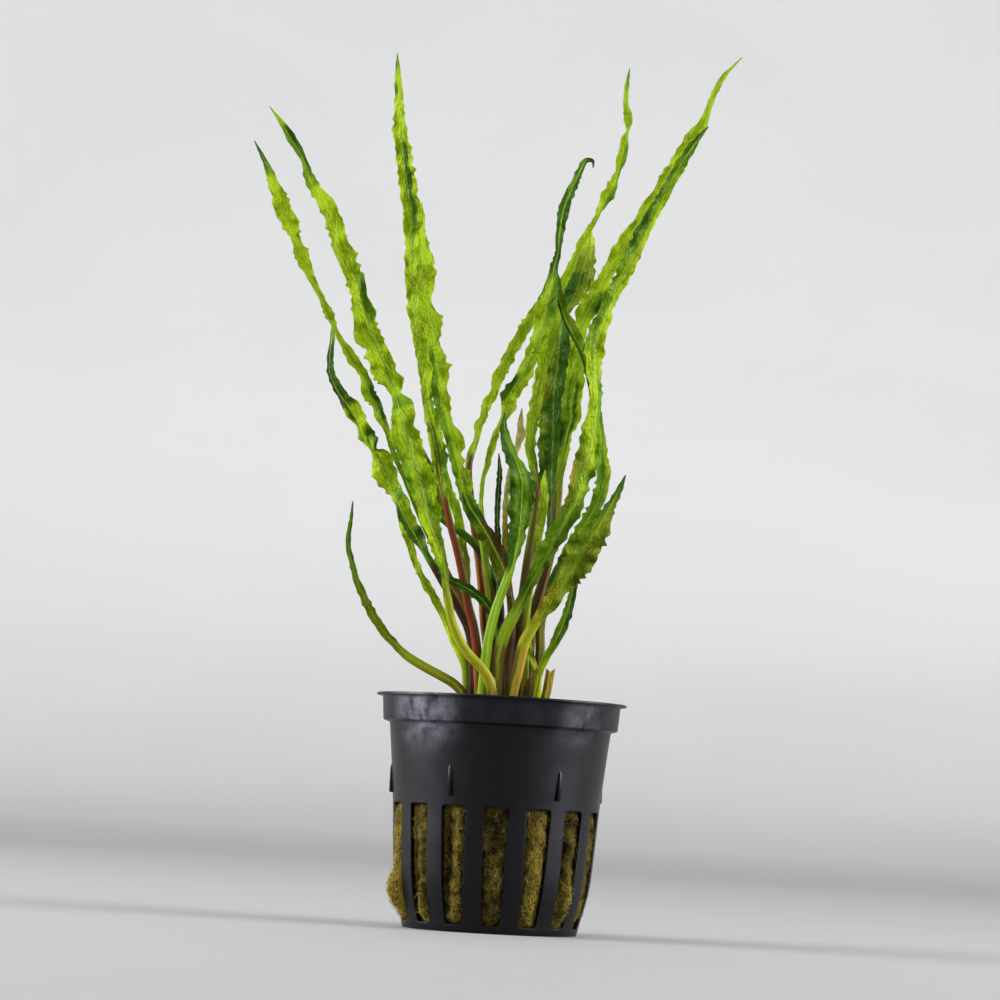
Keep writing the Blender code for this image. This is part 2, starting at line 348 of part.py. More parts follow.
def slot_half_angle(height):
    share = (height - SLOT_BOTTOM) / (SLOT_TOP - SLOT_BOTTOM)
    return SLOT_HALF_ANGLE_BOTTOM + (SLOT_HALF_ANGLE_TOP - SLOT_HALF_ANGLE_BOTTOM) * share


def polar(radius, angle, height):
    """A point by its angle from the front, positive towards the right."""
    turn = math.radians(angle)
    return Vector((radius * math.sin(turn), -radius * math.cos(turn), height))


OUTER_WALL = (
    (BASE_RADIUS, 0.0), (BASE_RADIUS + 0.3, SLOT_BOTTOM), (WALL_AT_9, 9.0), (WALL_AT_19, 19.0),
    (SLOT_TOP_RADIUS, SLOT_TOP), (WALL_AT_37, 37.0), (SHOULDER_RADIUS, SHOULDER_HEIGHT),
    (BAND_FOOT_RADIUS, BAND_FOOT_HEIGHT), (BAND_TOP_RADIUS, RIM_HEIGHT - FLANGE_THICKNESS),
    (RIM_RADIUS, RIM_HEIGHT - FLANGE_THICKNESS), (RIM_RADIUS, RIM_HEIGHT),
)


def wall_radius(height):
    """The outer radius of the slotted wall at a height, read off its profile."""
    for (low_r, low_z), (high_r, high_z) in zip(OUTER_WALL, OUTER_WALL[1:]):
        if low_z <= height <= high_z:
            return low_r + (high_r - low_r) * (height - low_z) / (high_z - low_z)
    return OUTER_WALL[-1][0]


def pot_profile():
    """The wall and base in one closed outline, from the underside's centre round to its top."""
    inner = [(radius - WALL, height) for radius, height in OUTER_WALL[1:6]]
    inner += [(SHOULDER_RADIUS - WALL, SHOULDER_HEIGHT - 0.3),
              (BAND_FOOT_RADIUS - WALL, BAND_FOOT_HEIGHT + 0.4),
              (BAND_TOP_RADIUS - WALL, RIM_HEIGHT)]
    windows = [WINDOW_INNER_RADIUS, WINDOW_OUTER_RADIUS]
    under = [(0.0, 0.0)] + [(radius, 0.0) for radius in windows]
    floor = [(BASE_RADIUS - WALL, BASE_THICKNESS)]
    floor += [(radius, BASE_THICKNESS) for radius in reversed(windows)] + [(0.0, BASE_THICKNESS)]
    return under + list(OUTER_WALL) + inner[::-1] + floor


def slot_offset(angle):
    """How far an angle lies from the middle of the nearest slot."""
    pitch = 360.0 / SLOT_COUNT
    return (angle - FIRST_SLOT_ANGLE + pitch / 2) % pitch - pitch / 2


def open_ring(bm, low, high, inner_radius, outer_radius):
    """Cut one opening under each slot position through both skins of a wall or a plate."""
    pitch = 360.0 / SLOT_COUNT
    for index in range(SLOT_COUNT):
        middle = FIRST_SLOT_ANGLE + index * pitch
        patch = []
        for face in bm.faces:
            centre = face.calc_center_median()
            angle = math.degrees(math.atan2(centre.x, -centre.y))
            apart = (angle - middle + 180) % 360 - 180
            if abs(apart) > SLOT_HALF_ANGLE_TOP:
                continue
            if low < centre.z < high and inner_radius < centre.xy.length < outer_radius:
                patch.append(face)
        bmesh.ops.delete(bm, geom=patch, context="FACES")
        edges = [edge for edge in bm.edges if edge.is_boundary]
        bmesh.ops.bridge_loops(bm, edges=edges)


def build_pot():
    bm = bmesh.new()
    outline = [bm.verts.new(polar(radius, FIRST_SLOT_ANGLE, height))
               for radius, height in pot_profile()]
    edges = [bm.edges.new(pair) for pair in zip(outline, outline[1:])]
    steps = SLOT_COUNT * COLUMNS_PER_SLOT
    bmesh.ops.spin(bm, geom=outline + edges, axis=(0, 0, 1), cent=(0, 0, 0),
                   angle=math.tau, steps=steps, use_duplicate=False)
    bmesh.ops.remove_doubles(bm, verts=bm.verts, dist=0.001)
    open_ring(bm, SLOT_BOTTOM, SLOT_TOP, WINDOW_OUTER_RADIUS + 1.0, RIM_RADIUS)
    open_ring(bm, -0.1, BASE_THICKNESS + 0.1, WINDOW_INNER_RADIUS, WINDOW_OUTER_RADIUS)
    column = 360.0 / steps
    for vert in bm.verts:
        in_slot_rows = SLOT_BOTTOM - 0.01 <= vert.co.z <= SLOT_TOP + 0.01
        if not in_slot_rows or vert.co.xy.length < BASE_RADIUS - 1.5 * WALL:
            continue
        angle = math.degrees(math.atan2(vert.co.x, -vert.co.y))
        offset = slot_offset(angle)
        if abs(abs(offset) - column) > 0.5:
            continue
        change = math.copysign(slot_half_angle(vert.co.z) - column, offset)
        vert.co.xy = polar(vert.co.xy.length, angle + change, 0.0).xy
        if vert.co.z > SLOT_TOP - 0.01:
            vert.co.z -= SLOT_CORNER_DROP
    pot = add_object("net_pot", bm, BLACK)
    lugs = build_lugs()
    join = pot.modifiers.new("lugs", "BOOLEAN")
    join.operation = "UNION"
    join.object = lugs
    return pot


def build_lugs():
    """Six small ribs that stop stacked pots from jamming, as one guide for the pot's union."""
    bm = bmesh.new()
    middle = (LUG_BOTTOM + LUG_TOP) / 2
    depth = WALL * 0.5 + LUG_PROUD
    for angle in LUG_ANGLES:
        made = bmesh.ops.create_cube(bm, size=1.0)["verts"]
        bmesh.ops.scale(bm, vec=(LUG_WIDTH, depth, LUG_TOP - LUG_BOTTOM), verts=made)
        reach = wall_radius(middle) + LUG_PROUD - depth / 2
        place = Matrix.Rotation(math.radians(angle), 4, "Z") @ Matrix.Translation((0, -reach, middle))
        bmesh.ops.transform(bm, matrix=place, verts=made)
    lugs = add_object("lug_guide", bm, BLACK)
    lugs.hide_render = True
    lugs.display_type = "WIRE"
    return lugs


def wool_radius(angle, height):
    radius = wall_radius(height) - WALL - WOOL_GAP
    offset = slot_offset(angle)
    if abs(offset) > WOOL_LOBE_ANGLE + 0.1 or height > SLOT_TOP - 2.0 or height < SLOT_BOTTOM:
        return radius
    pitch = 360.0 / SLOT_COUNT
    slot = round((angle - FIRST_SLOT_ANGLE) / pitch)
    if slot > SLOT_COUNT // 2:
        slot -= SLOT_COUNT
    bulge = WOOL_BULGES.get(slot, 0.0)
    fade = max(0.0, 1.0 - ((height - WOOL_BULGE_HEIGHT) / WOOL_BULGE_REACH) ** 2)
    crest = 1.0 if abs(offset) < 0.1 else WOOL_LOBE_CREST
    return radius + WOOL_GAP + (WALL + bulge) * fade * crest * (bulge > 0)


def build_wool():
    heights = (WOOL_BOTTOM, 4.0, 8.0, 12.0, 17.0, 26.5, 36.0, WOOL_TOP)
    pitch = 360.0 / SLOT_COUNT
    offsets = (-pitch / 2, -WOOL_FOOT_ANGLE, -WOOL_LOBE_ANGLE, 0.0, WOOL_LOBE_ANGLE, WOOL_FOOT_ANGLE)
    angles = [FIRST_SLOT_ANGLE + slot * pitch + offset
              for slot in range(SLOT_COUNT) for offset in offsets]
    rings = [[polar(wool_radius(angle, height), angle, height) for angle in angles]
             for height in heights]
    bm = bmesh.new()
    loft(bm, rings)
    return add_object("rockwool_plug", bm, WOOL)


def build_crown():
    """A low knobbly rhizome: four oval rings, the top one flat for the leaves to stand on."""
    middle_x, middle_y = CROWN_CENTRE
    levels = ((CROWN_BOTTOM, 0.86), (CROWN_BOTTOM + 1.2, 1.0),
              (CROWN_TOP - 1.0, 0.98), (CROWN_TOP, 0.9))
    rings = []
    for height, share in levels:
        ring = []
        for index in range(CROWN_COLUMNS):
            turn = math.tau * index / CROWN_COLUMNS
            knob = share * (1.0 + CROWN_KNOB_SIZE * math.sin(CROWN_KNOBS * turn + height))
            ring.append(Vector((middle_x + CROWN_RADII[0] * knob * math.cos(turn),
                                middle_y + CROWN_RADII[1] * knob * math.sin(turn), height)))
        rings.append(ring)
    bm = bmesh.new()
    loft(bm, rings)
    return add_object("crown", bm, CROWN)


def place_at_depth(x, y, z):
    """A point that is seen at x, z in the plane of the pot's axis, moved to the depth y."""
    spread = 1.0 + y / EYE_DISTANCE
    return Vector((x * spread, y, EYE_HEIGHT + (z - EYE_HEIGHT) * spread))


def sheath_half_width(petiole, height):
    """A petiole widens into a sheath towards its foot."""
    share = max(0.0, 1.0 - (height - FOOT_HEIGHT) / SHEATH_HEIGHT)
    return petiole * (1.0 + SHEATH_SWELL * min(share, 1.0))


def leaf_stations(leaf):
    """Follow one leaf from foot to tip: centre, half widths, half thickness and turn."""
    foot_depth, lean, side, petiole, route = leaf[2:]
    points = [(*point, *[sheath_half_width(petiole, point[1])] * 2)[:4] for point in reversed(route)]
    blade = [len(point) == 4 for point in reversed(route)]
    spans = [left + right for x, z, left, right in points]
    stations = []
    last = len(points) - 1
    for index, (x, z, left, right) in enumerate(points):
        share = index / last
        depth = foot_depth * (1.0 + (z - FOOT_HEIGHT) / FAN_HEIGHT) + lean * share ** 2
        centre = place_at_depth(x, depth, z)
        if blade[index]:
            widest = max(spans[max(index - 2, 0):index + 3])
            seen = spans[index]
            turn = min(math.acos(min(seen / widest, 1.0)), EDGE_ON_LIMIT) * side
            blade_share = (index - blade.index(True)) / (last - blade.index(True))
            thick = BLADE_HALF_THICKNESS * (1 - blade_share) + TIP_HALF_THICKNESS * blade_share
            crisp = CRISP * seen * (-1) ** index * (index < last)
        else:
            turn = 0.0
            thick = left * PETIOLE_FLATNESS
            crisp = 0.0
        stretch = 1.0 / math.cos(turn)
        stations.append((centre, left * stretch, right * stretch, thick, turn, crisp))
    return stations


def leaf_rings(leaf):
    """Four-point rings: left margin, face, right margin, back, square to the midrib."""
    stations = leaf_stations(leaf)
    centres = [station[0] for station in stations]
    front = Vector((0.0, -1.0, 0.0))
    rings = []
    for index, (centre, left, right, thick, turn, crisp) in enumerate(stations):
        ahead = centres[min(index + 1, len(centres) - 1)] - centres[max(index - 1, 0)]
        along = ahead.normalized()
        across = along.cross(front).normalized()
        across.rotate(Matrix.Rotation(turn, 3, along))
        face = across.cross(along)
        rings.append((centre - across * left + face * crisp, centre + face * thick,
                      centre + across * right - face * crisp, centre - face * thick))
    return rings


def build_leaf(leaf):
    bm = bmesh.new()
    loft(bm, leaf_rings(leaf))
    return add_object(leaf[0], bm, leaf[1])


def build_stub(stub):
    name, finish, depth, foot, top, half_widths, half_thickness = stub
    rings = []
    for (x, z), half_width in zip((foot, top), half_widths):
        centre = place_at_depth(x, depth, z)
        ring = [centre + Vector((half_width * math.cos(turn), half_thickness * math.sin(turn), 0))
                for turn in (math.tau * index / STUB_SIDES for index in range(STUB_SIDES))]
        rings.append(ring)
    bm = bmesh.new()
    loft(bm, rings)
    return add_object(name, bm, finish)


def main():
    clear_scene()
    build_pot()
    build_wool()
    build_crown()
    for leaf in LEAVES:
        build_leaf(leaf)
    for stub in STUBS:
        build_stub(stub)


main()
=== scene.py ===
"""Looks of a potted water plant: its net pot, mineral wool, crown and long crisped leaves.

Lengths in this file are in millimetres, but for the softboxes, which are in metres. The origin is the
centre of the pot's underside, +Z is up, +X is to the right and -Y is the front, and every finished
piece is brought to metres.
"""

import math
from types import SimpleNamespace

import bmesh
import bpy
import numpy as np
from bpy.props import FloatProperty, FloatVectorProperty, PointerProperty
from mathutils import Matrix, Vector, noise


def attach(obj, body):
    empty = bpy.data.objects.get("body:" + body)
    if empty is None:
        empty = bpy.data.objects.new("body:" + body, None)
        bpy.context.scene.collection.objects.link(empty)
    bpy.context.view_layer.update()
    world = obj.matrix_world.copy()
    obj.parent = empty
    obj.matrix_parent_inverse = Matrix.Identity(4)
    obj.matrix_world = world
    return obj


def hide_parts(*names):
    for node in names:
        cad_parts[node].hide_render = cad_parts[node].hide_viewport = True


bl_info = {
    "name": "Potted water plant",
    "version": (1, 0, 0),
    "blender": (4, 5, 0),
    "location": "View3D > Sidebar > Plant",
    "description": "Makes a net pot with mineral wool and a water plant with long crisped leaves",
    "category": "Add Mesh",
}

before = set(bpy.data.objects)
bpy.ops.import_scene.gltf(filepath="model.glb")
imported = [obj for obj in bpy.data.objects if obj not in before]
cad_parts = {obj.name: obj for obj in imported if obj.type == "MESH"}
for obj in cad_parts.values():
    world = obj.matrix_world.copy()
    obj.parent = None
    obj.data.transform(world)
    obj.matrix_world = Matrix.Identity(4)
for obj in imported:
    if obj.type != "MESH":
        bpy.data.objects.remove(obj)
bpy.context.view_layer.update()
BODY = "root"
MM = 0.001

# The kind of socket that a node group's default value needs
SOCKET_KINDS = {float: "NodeSocketFloat", int: "NodeSocketInt", str: "NodeSocketString"}

# Pot: its sizes, and its outer surface and collar as (radius, height)
RIM_RADIUS = 28.3
RIM_HEIGHT = 52.4
FLANGE_THICKNESS = 0.6
BAND_TOP_RADIUS = 26.9
BAND_FOOT_RADIUS = 26.5
BAND_FOOT_HEIGHT = 46.3
SHOULDER_RADIUS = 25.0
SHOULDER_HEIGHT = 45.9
WALL = 0.9
BASE_THICKNESS = 1.0
BASE_RADIUS = 19.7
BASE_CENTRE_RADIUS = 0.6
CORNER_REACH = 0.28
NEARLY_STRAIGHT = 0.985
WELD = 0.01
WALL_PROFILE = ((BASE_RADIUS, 0.0), (20.0, 1.7), (21.8, 9.0), (22.75, 19.0), (23.3, 27.9),
                (24.1, 37.0), (SHOULDER_RADIUS, SHOULDER_HEIGHT))
COLLAR_PROFILE = ((BAND_FOOT_RADIUS, BAND_FOOT_HEIGHT), (BAND_TOP_RADIUS, RIM_HEIGHT - FLANGE_THICKNESS),
                  (RIM_RADIUS, RIM_HEIGHT - FLANGE_THICKNESS), (RIM_RADIUS, RIM_HEIGHT))
COLLAR_INSIDE = ((BAND_TOP_RADIUS - WALL, RIM_HEIGHT), (BAND_FOOT_RADIUS - WALL, BAND_FOOT_HEIGHT + 0.4),
                 (SHOULDER_RADIUS - WALL, SHOULDER_HEIGHT - 0.3))

# Slots, base windows and stacking lugs, with angles in degrees from the front
SLOT_COUNT = 15
PITCH = 360.0 / SLOT_COUNT
FIRST_SLOT_ANGLE = 0.5
SLOT_BOTTOM = 1.7
SLOT_TOP = 27.9
SLOT_CORNER = 0.8
SLOT_HALF_ANGLE_TOP = 7.2
SLOT_HALF_ANGLE_BOTTOM = 6.05
WINDOW_HALF_ANGLE = 6.0
WINDOW_INNER_RADIUS = 8.0
WINDOW_OUTER_RADIUS = 16.5
LUG_ANGLES = (35, -26, -86, 101, 154, 214)
LUG_BOTTOM = 30.0
LUG_TOP = 37.0
LUG_RADIUS = 24.3
LUG_WIDTH = 0.75
LUG_BURIED = 0.4

# Pale patches on the rim band: dried deposit, partly painted sheen, as (place, reach, strength)
SHEEN_AND_RESIDUE_SPOTS = (((-17.5, -20.0, 50.0), 13.0, 1.0), ((-20.0, -16.0, 44.0), 7.0, 0.30),
                 ((18.0, -19.5, 48.5), 9.0, 0.40))

# Mineral wool: swellings and hollows as (angle, height, reach in angle, reach in height, out)
WOOL_BOTTOM = 1.4
WOOL_TOP = 45.0
WOOL_GAP = 0.3
WOOL_BULGE = 0.45
SLOTS_BEHIND = range(4, 12)
WOOL_SWELLINGS = (
    (-71.5, 7.5, 4.6, 5.5, 3.4), (-71.5, 20.0, 4.5, 9.0, 1.1), (-45.5, 6.0, 2.4, 4.0, 1.6),
    (-50.3, 12.0, 1.5, 7.0, -1.8), (-45.5, 15.0, 1.2, 8.0, 0.5), (-26.5, 17.0, 2.0, 12.0, -1.6),
    (-20.5, 18.0, 1.8, 12.0, 0.8), (-22.0, 6.0, 2.6, 4.0, 0.5), (1.0, 11.5, 3.5, 3.5, 0.4),
    (0.5, 21.0, 5.0, 6.0, -1.0), (24.5, 14.0, 4.0, 11.0, 0.8), (25.0, 4.5, 2.5, 3.0, 0.6),
    (50.0, 7.5, 2.6, 4.5, 1.8), (45.5, 19.0, 3.6, 9.0, -2.2), (72.5, 15.0, 4.5, 10.0, 0.2),
    (-23.5, 5.0, 1.0, 3.5, 0.6), (0.5, 16.4, 4.0, 1.0, 0.7), (3.0, 12.0, 1.5, 3.0, 0.6),
    (24.5, 24.0, 4.0, 2.0, 0.5),
)
# Painted light and shade on the wool: light on folds (above 0), shade in hollows (below 0), given in the same
# way
WOOL_LIGHT_AND_SHADE = (
    (-71.5, 14.0, 6.0, 30.0, 0.55), (-71.5, 7.0, 5.0, 6.0, 0.25), (-46.5, 20.0, 4.0, 9.0, 0.10),
    (-46.0, 5.0, 3.2, 4.0, 0.45), (-50.8, 12.0, 1.4, 8.0, -0.35), (-26.3, 17.0, 1.8, 14.0, -0.20),
    (-21.0, 20.0, 1.5, 8.0, 0.25), (-22.5, 5.5, 1.2, 4.0, 0.25), (0.5, 22.0, 6.0, 6.0, -0.22),
    (1.5, 16.4, 3.4, 0.9, 0.16), (2.5, 12.0, 2.2, 3.0, 0.20), (-3.5, 8.0, 2.0, 9.0, -0.15),
    (24.5, 15.0, 5.0, 14.0, 0.32), (24.0, 5.5, 3.0, 3.5, 0.25), (45.5, 20.0, 4.0, 9.0, -0.20),
    (50.0, 8.5, 3.0, 5.0, 0.50), (74.0, 15.0, 5.0, 14.0, -0.05),
)

# Loose threads of one unit's length, as the start, two handles and end of a bend
THREAD_BENDS = (
    ((-0.5, 0.0, -0.10), (-0.2, 0.16, 0.16), (0.2, -0.12, 0.14), (0.5, 0.04, -0.02)),
    ((-0.5, 0.06, -0.12), (-0.15, -0.2, 0.10), (0.25, 0.15, 0.20), (0.5, -0.05, 0.16)),
    ((-0.4, 0.0, -0.10), (-0.3, 0.10, 0.22), (0.1, 0.25, 0.10), (0.5, 0.20, -0.06)),
)

# Crown
CROWN_CENTRE = (0.5, -1.2)
CROWN_RADII = (10.6, 8.8)
CROWN_BOTTOM = 44.2
CROWN_TOP = 50.0

# Leaves: their feet stand on the crown, and they fan out in depth as they rise
FOOT_HEIGHT = 50.0
FOOT_BURIED = 1.2
FAN_HEIGHT = 46.0
EDGE_ON_LIMIT = math.radians(58)
LEAF_STEP = 0.42
HALF_BLADE = (0.0, 0.12, 0.27, 0.44, 0.62, 0.79, 0.92, 1.0)
SKIN_AT_MARGIN = 0.055
SKIN_ADDED_INSIDE = 0.05
RIB_AT_TIP = 0.05
RIB_ADDED_AT_FOOT = 0.30
RIB_REACH = 0.42
RIB_SHARE_IN_FRONT = 0.25
TIP_TAPER = 4.0
STALK_FRONT = 0.72
STALK_BACK = 0.88
SHEATH_SWELL = 0.5
SHEATH_HEIGHT = 42.0

# Studio: the camera's eye, the bowl-shaped floor as flat radius, wall radius and height, where the
# paper under the pot turns pale, and each softbox as name, place, aim, size and power
EYE_DISTANCE = 900.0
EYE_HEIGHT = 28.0
SENSOR_WIDTH = 36.0
STUDIO_BOWL = (1050.0, 3200.0, 3600.0)
PAPER_SHADE_REACH = (950.0, 2100.0)
SOFTBOXES = (
    ("left_softbox", (-1.15, -0.10, 0.42), (0.0, 0.0, 0.10), (1.0, 0.5), 33.0),
    ("right_softbox", (1.12, -0.22, 0.42), (0.0, 0.0, 0.10), (0.9, 0.5), 30.0),
    ("front_top_softbox", (-0.10, -0.62, 1.10), (0.0, 0.0, 0.10), (1.2, 0.8), 5.5),
    ("back_softbox", (0.0, 1.2, 0.9), (0.0, 0.0, 0.14), (1.4, 0.8), 5.0),
    ("backdrop_light", (0.0, 0.9, 2.8), (0.0, 3.2, 0.7), (3.0, 0.8), 24.0),
)

# Fixed colours of the finishes, as linear colour
MIDRIB_GREEN = (0.42, 0.56, 0.035)
LEAF_SPECKS = (0.03, 0.045, 0.008)
SHEEN_AND_RESIDUE_GREY = (0.170, 0.165, 0.205)
# Painted highlight on the loose threads
THREAD_HIGHLIGHT = (0.52, 0.44, 0.13)
CROWN_SPECKS = (0.02, 0.012, 0.006)

# Tones of the plant by letter, as linear colour; some dark letters also carry painted shade
TONES = {
    "b": (0.370, 0.500, 0.006),  # bright yellow-green
    "l": (0.310, 0.440, 0.045),  # light green of a broad midrib
    # Deep green is partly the blades' own colour, partly painted shade on folds and shaded sides
    "g": (0.160, 0.300, 0.006),  # mid green
    "d": (0.045, 0.125, 0.004),  # deep green
    "n": (0.014, 0.042, 0.003),  # green in shade, nearly black
    "o": (0.175, 0.235, 0.006),  # olive
    "y": (0.290, 0.260, 0.012),  # olive-yellow
    "t": (0.300, 0.180, 0.028),  # straw
    "s": (0.230, 0.080, 0.012),  # salmon brown
    "r": (0.130, 0.026, 0.007),  # red-brown
    "k": (0.085, 0.050, 0.007),  # brown
    # Dark maroon is partly the stalks' own colour, partly painted shade between them
    "m": (0.036, 0.016, 0.007),  # dark maroon
    "c": (0.560, 0.500, 0.200),  # cream
}
